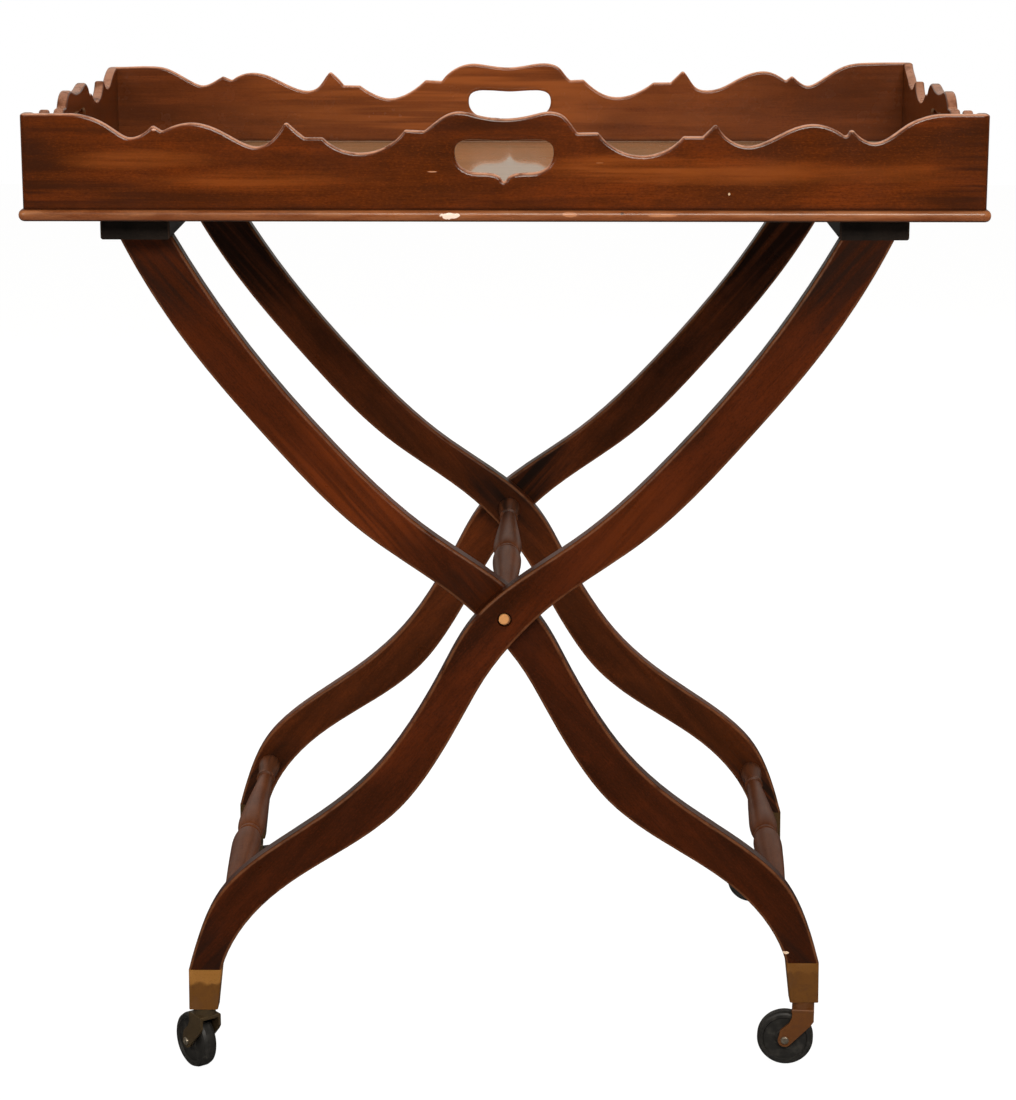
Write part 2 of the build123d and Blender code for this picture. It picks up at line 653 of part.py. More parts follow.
def build_frame(name, hand, frame_middle, leg_inner_face, corners):
    """One crossed frame: its legs, rail, stretcher, cups, cup screws and tacks."""
    rail_side = hand
    flip = (lambda piece: piece) if hand > 0 else (lambda piece: mirror(piece, Plane.YZ))
    sizes = (cup_screw_radius, cup_screw_length, cup_screw_head_radius, cup_screw_head_thick)
    socket_gap = stretcher_tenon_length + glue_gap
    stretcher_x, stretcher_z = leg_point(stretcher_place_shares)
    blank = leg()
    socket = cup()
    cup_screws = []
    for side, end in ((-1, "front"), (1, "back")):
        plank = place_leg(blank, side, frame_middle)
        low_y = side * leg_inner_face
        hole = Pos(stretcher_x, low_y, pivot_height + stretcher_z) * Rot(90, 0, 0)
        plank = plank - hole * Cylinder(stretcher_tenon_radius + glue_gap, 2 * socket_gap)
        pin_hole = Pos(0, side * frame_middle, pivot_height) * Rot(90, 0, 0)
        plank = plank - pin_hole * Cylinder(pin_radius + running_fit, leg_thick + 2 * overrun)
        if hand > 0:
            eye = Pos(0, side * stand_face, pivot_height) * Rot(90, 0, 0)
            plank = plank - eye * Cylinder(pin_eye_radius, 2 * pin_eye_depth)
        places = cup_screw_places(frame_middle, side)
        holes = [p * screw_hole(*sizes) for p in places]
        cup_screws += [p * screw(*sizes) for p in places]
        save(flip(drilled(plank, holes)), name + "_leg_" + end)
        save(flip(drilled(place_leg(socket, side, frame_middle), holes)), "caster_" + corners[end] + "_cup")
    save(flip(Compound(children=cup_screws)), name + "_cup_screws")

    low_spindle = spindle(leg_inner_face, stretcher_tenon_radius, stretcher_tenon_length, 0, 0)
    placed = Pos(stretcher_x, 0, pivot_height + stretcher_z) * low_spindle
    save(flip(placed), name + "_lower_stretcher")

    holes = [p * tack_hole(glue_gap) for p in tack_places(rail_side)]
    save(rail(rail_side, holes), name + "_rail")
    save(Compound(children=[p * tack() for p in tack_places(rail_side)]), name + "_strap_tacks")


def build_pivot():
    """The middle stretcher between the inner legs and the pins that run in the outer legs."""
    axis = Pos(0, 0, pivot_height)
    middle = spindle(inner_leg_inner_face, 0, 0, pin_radius + glue_gap, pin_stretcher_depth + glue_gap)
    save(axis * middle, "pivot_stretcher")
    outer_end = stand_face - pin_recess
    inner_end = inner_leg_inner_face - pin_stretcher_depth
    length = outer_end - inner_end
    for side, end in ((-1, "front"), (1, "back")):
        pin = Cylinder(pin_radius, length)
        rims = [e for e in pin.edges() if e.geom_type == GeomType.CIRCLE]
        pin = chamfer(rims, length=pin_recess / 3)
        place = Pos(0, side * (outer_end + inner_end) / 2, pivot_height) * Rot(90, 0, 0)
        save(place * pin, "pivot_pin_" + end)


def build_straps():
    """The three webbing straps, each pierced for its tacks."""
    holes = [p * tack_hole(2 * glue_gap) for side in (-1, 1) for p in tack_places(side)]
    for y, name in zip(strap_places(), ("front", "middle", "back")):
        save(drilled(strap(y), holes), "strap_" + name)


def build_casters():
    """The four forks, axles and wheels, turned as the photograph shows them."""
    stations = (
        ("front_left", -caster_reach, -outer_leg_middle, front_left_trail_angle),
        ("back_left", -caster_reach, outer_leg_middle, back_left_trail_angle),
        ("front_right", caster_reach, -inner_leg_middle, front_right_trail_angle),
        ("back_right", caster_reach, inner_leg_middle, back_right_trail_angle),
    )
    for name, x, y, angle in stations:
        fork, axle, disc = caster_parts(angle)
        place = Pos(x, y, 0)
        save(place * fork, "caster_" + name + "_fork")
        save(place * axle, "caster_" + name + "_axle")
        save(place * disc, "caster_" + name + "_wheel")


build_tray()
left_corners = {"front": "front_left", "back": "back_left"}
build_frame("outer", 1, outer_leg_middle, outer_leg_inner_face, left_corners)
right_corners = {"front": "front_right", "back": "back_right"}
build_frame("inner", -1, inner_leg_middle, inner_leg_inner_face, right_corners)
build_pivot()
build_straps()
build_casters()
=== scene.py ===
import logging
import math
from dataclasses import dataclass, field
from enum import Enum

import bmesh
import bpy
from mathutils import Matrix, Vector


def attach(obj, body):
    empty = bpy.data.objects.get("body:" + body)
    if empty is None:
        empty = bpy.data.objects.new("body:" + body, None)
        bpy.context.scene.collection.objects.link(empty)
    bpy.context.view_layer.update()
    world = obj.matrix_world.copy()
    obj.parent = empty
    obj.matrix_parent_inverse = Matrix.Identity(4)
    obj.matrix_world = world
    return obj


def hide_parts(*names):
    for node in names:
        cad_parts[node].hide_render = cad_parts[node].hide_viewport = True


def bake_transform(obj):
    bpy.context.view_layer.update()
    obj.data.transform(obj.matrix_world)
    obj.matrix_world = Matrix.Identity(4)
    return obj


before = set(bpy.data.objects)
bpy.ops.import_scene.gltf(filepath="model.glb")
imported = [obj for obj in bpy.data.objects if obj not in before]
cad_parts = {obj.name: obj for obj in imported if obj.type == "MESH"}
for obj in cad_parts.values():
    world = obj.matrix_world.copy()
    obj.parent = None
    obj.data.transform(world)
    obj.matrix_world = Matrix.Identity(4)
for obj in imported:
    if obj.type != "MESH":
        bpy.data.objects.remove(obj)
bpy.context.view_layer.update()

LOG = logging.getLogger("tray_on_stand")

Colour = tuple[float, float, float]
Point = tuple[float, float, float]


class GrainRun(Enum):
    """The way a piece's grain runs: the turn about Y, then about Z, that brings X onto it."""

    ALONG_TRAY = (0.0, 0.0)
    ACROSS_TRAY = (0.0, 90.0)
    RISING_RIGHT = (-49.0, 0.0)
    RISING_LEFT = (49.0, 0.0)


class Signal:
    """A socket of a node tree that arithmetic can be written on."""

    def __init__(self, tree: "NodeTree", socket: bpy.types.NodeSocket) -> None:
        """Keeps the tree and the socket.

        Args:
            tree: the tree that new nodes go into.
            socket: the output that carries the value.
        """
        self.tree = tree
        self.socket = socket

    def __add__(self, other: "Signal | float") -> "Signal":
        """Sum."""
        return self.tree.maths("ADD", self, other)

    def __radd__(self, other: float) -> "Signal":
        """Sum with a number first."""
        return self.tree.maths("ADD", other, self)

    def __sub__(self, other: "Signal | float") -> "Signal":
        """Difference."""
        return self.tree.maths("SUBTRACT", self, other)

    def __rsub__(self, other: float) -> "Signal":
        """Difference with a number first."""
        return self.tree.maths("SUBTRACT", other, self)

    def __mul__(self, other: "Signal | float") -> "Signal":
        """Product."""
        return self.tree.maths("MULTIPLY", self, other)

    def __rmul__(self, other: float) -> "Signal":
        """Product with a number first."""
        return self.tree.maths("MULTIPLY", other, self)

    def __abs__(self) -> "Signal":
        """Size without its sign."""
        return self.tree.maths("ABSOLUTE", self, 0.0)

    def at_least(self, other: "Signal | float") -> "Signal":
        """The larger of the two."""
        return self.tree.maths("MAXIMUM", self, other)

    def ramp(self, low: float, high: float) -> "Signal":
        """Turns smoothly from 0 at low to 1 at high, or the other way when low is the larger."""
        if low > high:
            return 1.0 - self.ramp(high, low)
        settings = {"interpolation_type": "SMOOTHSTEP"}
        sockets = {"Value": self, "From Min": low, "From Max": high, "To Min": 0.0, "To Max": 1.0}
        return self.tree.node("ShaderNodeMapRange", settings, sockets)


class NodeTree:
    """The nodes of a material, a world or a Geometry Nodes group, built in Python expressions."""

    def __init__(self, tree: bpy.types.NodeTree) -> None:
        """Empties the tree and keeps its nodes and links.

        Args:
            tree: the tree that new nodes go into.
        """
        self.nodes, self.links = tree.nodes, tree.links
        self.nodes.clear()

    def feed(self, socket: bpy.types.NodeSocket, value: "Signal | float | tuple") -> None:
        """Links a signal to a socket, or writes a plain value on it.

        Args:
            socket: the input.
            value: a signal, a number or a tuple.
        """
        if isinstance(value, Signal):
            self.links.new(value.socket, socket)
        elif isinstance(value, tuple) and len(value) == 3 and socket.type == "RGBA":
            socket.default_value = (*value, 1.0)
        else:
            socket.default_value = value

    def node(self, kind: str, settings: dict, sockets: dict, output: int | str = 0) -> Signal:
        """Adds any node.

        Args:
            kind: the node's type.
            settings: its own settings, which are set first.
            sockets: the values or signals of its inputs, by name or number.
            output: which of its outputs is wanted.

        Returns:
            The signal of that output.
        """
        made = self.nodes.new(kind)
        for key, value in settings.items():
            setattr(made, key, value)
        for key, value in sockets.items():
            self.feed(made.inputs[key], value)
        return Signal(self, made.outputs[output])

    def maths(self, operation: str, first: "Signal | float", second: "Signal | float") -> Signal:
        """One Math node on two values."""
        return self.node("ShaderNodeMath", {"operation": operation}, {0: first, 1: second})

    def place(self) -> Signal:
        """The point in the object's own coordinates, in metres."""
        return self.node("ShaderNodeTexCoord", {}, {}, "Object")

    def facing(self) -> Signal:
        """The surface's direction in the object's own coordinates."""
        return self.node("ShaderNodeTexCoord", {}, {}, "Normal")

    def parts(self, vector: Signal) -> tuple[Signal, Signal, Signal]:
        """The three parts of a vector."""
        split = self.nodes.new("ShaderNodeSeparateXYZ")
        self.links.new(vector.socket, split.inputs[0])
        return tuple(Signal(self, out) for out in split.outputs)

    def turned(self, vector: Signal, run: GrainRun, scale: Point) -> Signal:
        """A vector turned to a piece's grain and then scaled.

        Args:
            vector: the point to turn.
            run: the way the grain runs.
            scale: cycles per metre along, across and through the grain.

        Returns:
            The turned and scaled vector.
        """
        about_y, about_z = run.value
        spin = (0.0, math.radians(-about_y), math.radians(-about_z))
        sockets = {"Vector": vector, "Rotation": spin}
        straight = self.node("ShaderNodeMapping", {"vector_type": "POINT"}, sockets)
        return self.node("ShaderNodeVectorMath", {"operation": "MULTIPLY"}, {0: straight, 1: scale})

    def noise(self, vector: Signal, scale: float, detail: float = 3.0, rough: float = 0.55,
              swirl: float = 0.0) -> Signal:
        """A cloudy pattern from 0 to 1."""
        sockets = {"Vector": vector, "Scale": scale, "Detail": detail, "Roughness": rough,
                   "Distortion": swirl}
        return self.node("ShaderNodeTexNoise", {}, sockets)

    def blend(self, share: "Signal | float", first: "Signal | Colour", second: "Signal | Colour") -> Signal:
        """A colour between two others."""
        settings = {"data_type": "RGBA", "blend_type": "MIX", "clamp_factor": True}
        return self.node("ShaderNodeMix", settings, {0: share, 6: first, 7: second}, 2)

    def laid(self, colour: Signal, *layers: tuple[Signal, Colour]) -> Signal:
        """A colour with others laid over it in turn, each by its own share."""
        for share, tint in layers:
            colour = self.blend(share, colour, tint)
        return colour

    def reach(self, centre: Point, radii: Point) -> Signal:
        """How far a place lies from a centre, in shares of the radii along X, Y and Z."""
        away = self.node("ShaderNodeVectorMath", {"operation": "SUBTRACT"}, {0: self.place(), 1: centre})
        shares = tuple(1.0 / radius for radius in radii)
        near = self.node("ShaderNodeVectorMath", {"operation": "MULTIPLY"}, {0: away, 1: shares})
        return self.node("ShaderNodeVectorMath", {"operation": "LENGTH"}, {0: near}, "Value")


class MaterialTree(NodeTree):
    """One material with its surface shader."""

    def __init__(self, name: str) -> None:
        """Starts an empty material with its surface shader.

        Args:
            name: the material's name.
        """
        self.material = bpy.data.materials.new(name)
        self.material.use_nodes = True
        super().__init__(self.material.node_tree)
        self.output = self.nodes.new("ShaderNodeOutputMaterial")
        self.surface = self.nodes.new("ShaderNodeBsdfPrincipled")
        self.links.new(self.surface.outputs[0], self.output.inputs["Surface"])

    def relief(self, height: Signal, strength: float, depth: float) -> None:
        """Feeds a bump to the surface.

        Args:
            height: the pattern of highs and lows.
            strength: how much of it shows.
            depth: its height in metres.
        """
        bump = self.node("ShaderNodeBump", {}, {"Strength": strength, "Distance": depth, "Height": height})
        self.feed(self.surface.inputs["Normal"], bump)

    def finish(self, sockets: dict) -> bpy.types.Material:
        """Sets the surface's sockets and gives the material.

        Args:
            sockets: values or signals by socket name.

        Returns:
            The finished material.
        """
        for key, value in sockets.items():
            self.feed(self.surface.inputs[key], value)
        return self.material


@dataclass(frozen=True)
class Chip:
    """A place where the finish is knocked off."""

    centre: Point
    radii: Point
    colour: Colour
    raggedness: float = 0.35
    cycles: float = 320.0

    def mask(self, tree: MaterialTree) -> Signal:
        """1 inside the chip's ragged rim and 0 outside it."""
        wander = (tree.noise(tree.place(), self.cycles, 2.0) - 0.5) * (2.0 * self.raggedness)
        return (tree.reach(self.centre, self.radii) + wander).ramp(1.05, 0.9)


@dataclass(frozen=True)
class Patch:
    """A broad lighter or darker place in the wood."""

    centre: Point
    radii: Point
    colour: Colour
    share: float


def chipped(tree: MaterialTree, chips: tuple[Chip, ...], colour: Signal,
            height: Signal) -> tuple[Signal, Signal]:
    """Knocks the finish off at each chip.

    Args:
        tree: the material's tree.
        chips: the chips.
        colour: the finish's colour.
        height: the pattern of highs and lows.

    Returns:
        The colour and the height with the chips in them.
    """
    for chip in chips:
        mask = chip.mask(tree)
        colour = tree.blend(mask, colour, chip.colour)
        height = height - mask * 3.0
    return colour, height


@dataclass(frozen=True)
class Figure:
    """The layers of the wood's figure, in cycles per metre along, across and through the grain."""

    stripe: Point = (2.2, 62.0, 62.0)
    middle: Point = (6.5, 190.0, 190.0)
    fine: Point = (16.0, 620.0, 620.0)
    pore: Point = (85.0, 1900.0, 1900.0)
    cloud: Point = (3.4, 17.0, 17.0)
    mottle: Point = (14.0, 34.0, 34.0)
    fleck: Point = (420.0, 900.0, 900.0)
    drift: Point = (9.0, 40.0, 40.0)
    streak: Point = (5.0, 150.0, 150.0)


@dataclass(frozen=True)
class Mahogany:
    """Polished mahogany: stripes, pores, clouds, rubbed edges, a darker foot and chips; on the tops the
    rubbed colour is also a painted highlight.
    """

    name: str
    run: GrainRun
    deep: Colour = (0.042, 0.0096, 0.0014)
    body: Colour = (0.106, 0.0212, 0.0024)
    ember: Colour = (0.192, 0.0340, 0.0028)
    rubbed: Colour = (0.580, 0.2850, 0.1750)
    rub: float = 0.80
    rub_and_highlight_on_tops: bool = True
    roughness: float = 0.22
    coat: float = 0.20
    coat_roughness: float = 0.12
    specular: float = 0.30
    grain_height: float = 0.0004
    dark_foot_from: float = 0.0
    dark_foot_height: float = 0.0
    dark_foot_scale: float = 0.30
    figure: Figure = Figure()
    chips: tuple[Chip, ...] = ()
    patches: tuple[Patch, ...] = ()

    def layer(self, tree: MaterialTree, cycles: Point, detail: float, rough: float = 0.55,
              swirl: float = 0.0) -> Signal:
        """One cloudy layer, drawn out along the grain."""
        return tree.noise(tree.turned(tree.place(), self.run, cycles), 1.0, detail, rough, swirl)

    def wood(self, tree: MaterialTree) -> tuple[Signal, Signal]:
        """Lays the stripes, clouds and pores.

        Args:
            tree: the material's tree.

        Returns:
            The colour, and the height of the pores and stripes.
        """
        stripe = self.layer(tree, self.figure.stripe, 5.0, 0.62, 0.5)
        middle = self.layer(tree, self.figure.middle, 3.0, 0.6, 0.3)
        fine = self.layer(tree, self.figure.fine, 3.0, 0.6)
        pore = self.layer(tree, self.figure.pore, 0.0).ramp(0.52, 0.72)
        cloud = self.layer(tree, self.figure.cloud, 4.0, 0.5, 0.8)
        mottle = self.layer(tree, self.figure.mottle, 3.0, 0.6, 0.6)
        fleck = self.layer(tree, self.figure.fleck, 1.0)
        colour = tree.laid(
            tree.blend(stripe.ramp(0.18, 0.74), self.deep, self.body),
            (cloud.ramp(0.42, 0.68) * 0.70, self.ember),
            (mottle.ramp(0.46, 0.70) * 0.40, self.deep),
            (mottle.ramp(0.46, 0.26) * 0.35, self.ember),
            (middle.ramp(0.50, 0.74) * 0.25, self.deep),
            (fine.ramp(0.48, 0.72) * 0.40, self.deep),
            (fleck.ramp(0.50, 0.72) * 0.40, self.deep),
            (fleck.ramp(0.46, 0.28) * 0.30, self.ember),
            (pore * 0.30, self.deep),
        )
        return colour, fine * 0.5 + stripe * 0.3 - pore * 0.2

    def material(self) -> bpy.types.Material:
        """Builds the finish.

        Returns:
            The material.
        """
        tree = MaterialTree(self.name)
        colour, height = self.wood(tree)
        here = tree.place()
        for patch in self.patches:
            colour = tree.blend(self.soft_spot(tree, patch) * patch.share, colour, patch.colour)
        breakup = tree.noise(here, 55.0, 4.0, 0.65).ramp(0.22, 0.56)
        worn = self.edge_mask(*tree.parts(tree.facing())) * breakup
        # Pale worn wood; on the gallery tops it is also a painted highlight.
        colour = tree.blend(worn * self.rub, colour, self.rubbed)
        # Darker towards the foot of the piece.
        if self.dark_foot_height > 0.0:
            _, _, z = tree.parts(here)
            foot = z.ramp(self.dark_foot_from + self.dark_foot_height, self.dark_foot_from)
            foot_darkening = foot * (0.55 + 0.45 * tree.noise(here, 90.0, 3.0))
            colour = tree.blend(foot_darkening * 0.75, colour, tuple(self.dark_foot_scale * part for part in self.deep))
        colour, height = chipped(tree, self.chips, colour, height)
        tree.relief(height, 0.20, self.grain_height)
        smear = tree.noise(here, 24.0, 4.0, 0.6)
        return tree.finish({
            "Base Color": colour,
            "Roughness": self.roughness + (smear - 0.5) * 0.16 + worn * 0.06,
            "Coat Weight": self.coat,
            "Coat Roughness": self.coat_roughness,
            "Specular IOR Level": self.specular,
        })

    def edge_mask(self, nx: Signal, ny: Signal, nz: Signal) -> Signal:
        """Where hands and cloths have rubbed: the tops where asked, where the pale colour is also a painted
        highlight, else the rounded edges.
        """
        if self.rub_and_highlight_on_tops:
            return nz.ramp(0.30, 0.80)
        rising = self.run in (GrainRun.RISING_LEFT, GrainRun.RISING_RIGHT)
        sides = abs(ny) if rising else abs(nx).at_least(abs(ny))
        return sides.ramp(0.25, 0.55) * sides.ramp(0.985, 0.90)

    def soft_spot(self, tree: MaterialTree, patch: Patch) -> Signal:
        """A broad, streaky mask that fades slowly from a patch's middle."""
        drift = self.layer(tree, self.figure.drift, 4.0) - 0.5
        streak = self.layer(tree, self.figure.streak, 3.0).ramp(0.38, 0.60)
        near = (tree.reach(patch.centre, patch.radii) + drift * 1.3).ramp(1.1, 0.25)
        return near * (0.25 + streak * 0.75)


@dataclass(frozen=True)
class TrayBoard:
    """The tray's board: a worn moulding round a paler, faded and glossier floor."""

    name: str = "tray board, faded floor and rubbed moulding"
    floor_half_length: float = 0.3870
    floor_half_depth: float = 0.2530
    floor_from: float = 0.7740
    floor_rim: float = 0.0008
    floor_rise: float = 0.0006
    stained_side: float = 0.030
    stained_front: float = 0.022
    dry_from: float = 0.0100
    dry_full: float = 0.0080
    moulding_shaded_half: tuple[float, float] = (0.7692, 0.7640)
    moulding_foot: tuple[float, float] = (0.7634, 0.7618)
    gallery_seam: tuple[float, float] = (0.7705, 0.7716)
    grain_height: float = 0.0004
    floor_body: Colour = (0.430, 0.275, 0.145)
    floor_deep: Colour = (0.330, 0.200, 0.100)
    floor_stain: Colour = (0.090, 0.038, 0.018)
    floor_dry: Colour = (0.800, 0.580, 0.390)
    # Painted shade for the moulding's lower half.
    moulding_painted_shade: Colour = (0.130, 0.030, 0.007)
    seam_grime: Colour = (0.018, 0.006, 0.003)
    # Painted shadow along the moulding's lower edge.
    lower_edge_shadow: Colour = (0.012, 0.004, 0.002)
    bare_underside: Colour = (0.050, 0.022, 0.012)
    streaks: Point = (22.0, 160.0, 160.0)
    floor_grain: Point = (3.0, 90.0, 10.0)
    floor_pores: Point = (60.0, 900.0, 60.0)
    moulding: Mahogany = Mahogany(
        "moulding", GrainRun.ALONG_TRAY, deep=(0.090, 0.0220, 0.0050), body=(0.230, 0.0620, 0.0150),
        ember=(0.330, 0.0950, 0.0210), rubbed=(0.560, 0.2500, 0.1100))
    chips: tuple[Chip, ...] = ()

    def floor_mask(self, x: Signal, y: Signal, z: Signal) -> Signal:
        """1 on the raised field inside the galleries and 0 elsewhere."""
        lengthwise = abs(x).ramp(self.floor_half_length + self.floor_rim, self.floor_half_length)
        crosswise = abs(y).ramp(self.floor_half_depth + self.floor_rim, self.floor_half_depth)
        return lengthwise * crosswise * z.ramp(self.floor_from, self.floor_from + self.floor_rise)

    def edge(self, tree: MaterialTree, colour: Signal, inside: Signal) -> Signal:
        """The moulding's rubbed nose, its grimy seams, painted shade on its lower half, a painted shadow
        along its lower edge and the bare underside.

        Args:
            tree: the material's tree.
            colour: the moulding's wood.
            inside: the floor's mask.

        Returns:
            The colour of all but the floor.
        """
        nx, ny, nz = tree.parts(tree.facing())
        _, _, z = tree.parts(tree.place())
        breakup = tree.noise(tree.turned(tree.place(), GrainRun.ALONG_TRAY, self.streaks), 1.0, 4.0, 0.6)
        rubbed = abs(ny).at_least(abs(nx)).ramp(0.35, 0.80) * breakup.ramp(0.25, 0.80)
        return tree.laid(
            colour,
            (rubbed * 0.45, self.moulding.rubbed),
            # Painted shade: the moulding's lower half darker.
            (z.ramp(*self.moulding_shaded_half) * 0.55, self.moulding_painted_shade),
            (z.ramp(*self.gallery_seam) * (1.0 - inside) * 0.8, self.seam_grime),
            # Painted shadow along the moulding's lower edge.
            (z.ramp(*self.moulding_foot) * 0.85, self.lower_edge_shadow),
            (nz.ramp(-0.5, -0.9) * 0.8, self.bare_underside),
        )

    def floor(self, tree: MaterialTree, haze: Signal) -> Signal:
        """The faded floor, stained near the galleries and dry along the far edge.

        Args:
            tree: the material's tree.
            haze: slow changes of tone.

        Returns:
            The floor's colour.
        """
        here = tree.place()
        x, y, _ = tree.parts(here)
        grain = tree.noise(tree.turned(here, GrainRun.ALONG_TRAY, self.floor_grain), 1.0, 5.0, 0.6, 0.4)
        pore = tree.noise(tree.turned(here, GrainRun.ALONG_TRAY, self.floor_pores), 1.0, 2.0)
        colour = tree.blend(grain.ramp(0.34, 0.66) * 0.7 + haze * 0.3, self.floor_deep, self.floor_body)
        sides = abs(x).ramp(self.floor_half_length - self.stained_side, self.floor_half_length)
        close = sides.at_least(y.ramp(-self.floor_half_depth + self.stained_front, -self.floor_half_depth))
        dry = y.ramp(self.floor_half_depth - self.dry_from, self.floor_half_depth - self.dry_full)
        return tree.laid(colour, (pore.ramp(0.60, 0.74) * 0.35, self.floor_deep),
                         (close * 0.45, self.floor_stain), (dry * 0.90, self.floor_dry))

    def material(self) -> bpy.types.Material:
        """Builds the finish.

        Returns:
            The material.
        """
        tree = MaterialTree(self.name)
        wood, height = self.moulding.wood(tree)
        inside = self.floor_mask(*tree.parts(tree.place()))
        edge, height = chipped(tree, self.chips, self.edge(tree, wood, inside), height)
        haze = tree.noise(tree.place(), 7.0, 4.0, 0.6)
        tree.relief(height, 0.16, self.grain_height)
        return tree.finish({
            "Base Color": tree.blend(inside, edge, self.floor(tree, haze)),
            "Roughness": 0.28 + (haze - 0.5) * 0.12,
            "Coat Weight": inside * 0.80 + 0.20,
            "Coat Roughness": 0.05,
            "Specular IOR Level": 0.30,
        })


@dataclass(frozen=True)
class AgedBrass:
    """Cast brass that is bright where it is handled and brown elsewhere."""

    name: str
    bright: Colour
    dull: Colour
    dark: Colour
    bright_from: float = 0.0
    bright_to: float = 0.0
    waviness: float = 0.010
    relief_height: float = 0.0003
    roughness: float = 0.42
    patina: float = 0.5
    metal: float = 0.85

    def material(self) -> bpy.types.Material:
        """Builds the finish.

        Returns:
            The material.
        """
        tree = MaterialTree(self.name)
        here = tree.place()
        _, _, z = tree.parts(here)
        broad = tree.noise(here, 85.0, 4.0, 0.6, 0.6)
        fine = tree.noise(here, 620.0, 3.0, 0.6)
        pits = tree.noise(here, 1500.0, 2.0, 0.5).ramp(0.62, 0.72)
        colour = tree.blend(broad.ramp(0.38, 0.66) * self.patina, self.dull, self.dark)
        if self.bright_to > self.bright_from:
            wave = (tree.noise(here, 140.0, 2.0) - 0.5) * self.waviness
            band = (z + wave).ramp(self.bright_from, self.bright_to)
            colour = tree.blend(band * 0.85, colour, self.bright)
        grit = (fine - 0.5).ramp(0.0, 0.25)
        colour = tree.laid(colour, (grit * 0.30, self.dark), (pits * 0.5, self.dark))
        tree.relief(fine * 0.5 + broad * 0.8 - pits * 0.5, 0.22, self.relief_height)
        rough = self.roughness + (broad - 0.5) * 0.22 + pits * 0.15
        metal = self.metal - broad.ramp(0.45, 0.75) * 0.25
        return tree.finish({"Base Color": colour, "Roughness": rough, "Metallic": metal})


@dataclass(frozen=True)
class BlackWheel:
    """Hard black composition with scuffs and a dusty tread."""

    name: str = "black composition wheel"
    body: Colour = (0.0135, 0.0128, 0.0115)
    scuffed: Colour = (0.060, 0.055, 0.047)
    scratches: Point = (2200.0, 300.0, 160.0)
    relief_height: float = 0.0003

    def material(self) -> bpy.types.Material:
        """Builds the finish.

        Returns:
            The material.
        """
        tree = MaterialTree(self.name)
        here = tree.place()
        dust = tree.noise(here, 150.0, 4.0, 0.65)
        scratch = tree.noise(tree.turned(here, GrainRun.ALONG_TRAY, self.scratches), 1.0, 2.0)
        colour = tree.blend(dust.ramp(0.45, 0.80) * 0.55, self.body, self.scuffed)
        colour = tree.blend(scratch.ramp(0.64, 0.74) * 0.35, colour, self.scuffed)
        tree.relief(dust + scratch * 0.4, 0.18, self.relief_height)
        rough = 0.40 + dust * 0.25
        return tree.finish({"Base Color": colour, "Roughness": rough, "Specular IOR Level": 0.4})


@dataclass(frozen=True)
class DowelEnd:
    """Pale end grain of the pivot pins, grimy round its rim."""

    name: str = "pale dowel end grain"
    pale: Colour = (0.600, 0.285, 0.100)
    ring: Colour = (0.330, 0.130, 0.042)
    grimy: Colour = (0.10, 0.035, 0.012)
    heart_x: float = -0.0011
    heart_z: float = 0.4186
    radius: float = 0.005
    rings_per_metre: float = 9000.0
    relief_height: float = 0.0002

    def material(self) -> bpy.types.Material:
        """Builds the finish.

        Returns:
            The material.
        """
        tree = MaterialTree(self.name)
        here = tree.place()
        x, _, z = tree.parts(here)
        dx, dz = x - self.heart_x, z - self.heart_z
        reach = tree.node("ShaderNodeMath", {"operation": "SQRT"}, {0: dx * dx + dz * dz})
        turns = reach * self.rings_per_metre + tree.noise(here, 500.0) * 4.0
        rings = tree.node("ShaderNodeMath", {"operation": "SINE"}, {0: turns})
        specks = tree.noise(here, 2600.0, 2.0).ramp(0.58, 0.70)
        colour = tree.blend(rings.ramp(-0.2, 0.9) * 0.35 + specks * 0.4, self.pale, self.ring)
        rim = reach.ramp(self.radius * 0.80, self.radius * 1.1)
        colour = tree.blend(rim * 0.85, colour, self.grimy)
        tree.relief(rings * 0.3 - specks, 0.2, self.relief_height)
        return tree.finish({"Base Color": colour, "Roughness": 0.55, "Specular IOR Level": 0.3})


@dataclass(frozen=True)
class Webbing:
    """Woven strap: crossing threads from the strap's own map."""

    name: str = "woven webbing"
    light: Colour = (0.300, 0.225, 0.135)
    dark: Colour = (0.120, 0.082, 0.045)
    stripe: Colour = (0.130, 0.040, 0.022)
    threads_across: float = 34.0
    thread_pitch: float = 0.0016
    band_place: float = 0.31
    band_half_width: float = 0.055
    band_solid: float = 0.040
    relief_height: float = 0.0004

    def material(self) -> bpy.types.Material:
        """Builds the finish.

        Returns:
            The material.
        """
        tree = MaterialTree(self.name)
        u, v, _ = tree.parts(tree.node("ShaderNodeUVMap", {"uv_map": "weave"}, {}))
        warp = u * (self.threads_across * math.tau)
        weft = v * (math.tau / self.thread_pitch)
        across = tree.node("ShaderNodeMath", {"operation": "SINE"}, {0: warp})
        along = tree.node("ShaderNodeMath", {"operation": "SINE"}, {0: weft})
        twill = tree.node("ShaderNodeMath", {"operation": "SINE"}, {0: (warp + weft) * 0.5})
        weave = across * along * 0.5 + twill * 0.5
        fuzz = tree.noise(tree.place(), 900.0, 3.0)
        soil = tree.noise(tree.place(), 22.0, 4.0)
        colour = tree.blend(weave.ramp(-0.7, 0.8), self.dark, self.light)
        bands = abs(abs(u - 0.5) - self.band_place).ramp(self.band_half_width, self.band_solid)
        colour = tree.blend(bands * 0.7, colour, self.stripe)
        colour = tree.blend(soil.ramp(0.45, 0.75) * 0.45 + fuzz * 0.15, colour, self.dark)
        tree.relief(weave + fuzz * 0.6, 0.7, self.relief_height)
        return tree.finish({
            "Base Color": colour, "Roughness": 0.86, "Specular IOR Level": 0.2, "Sheen Weight": 0.2,
        })


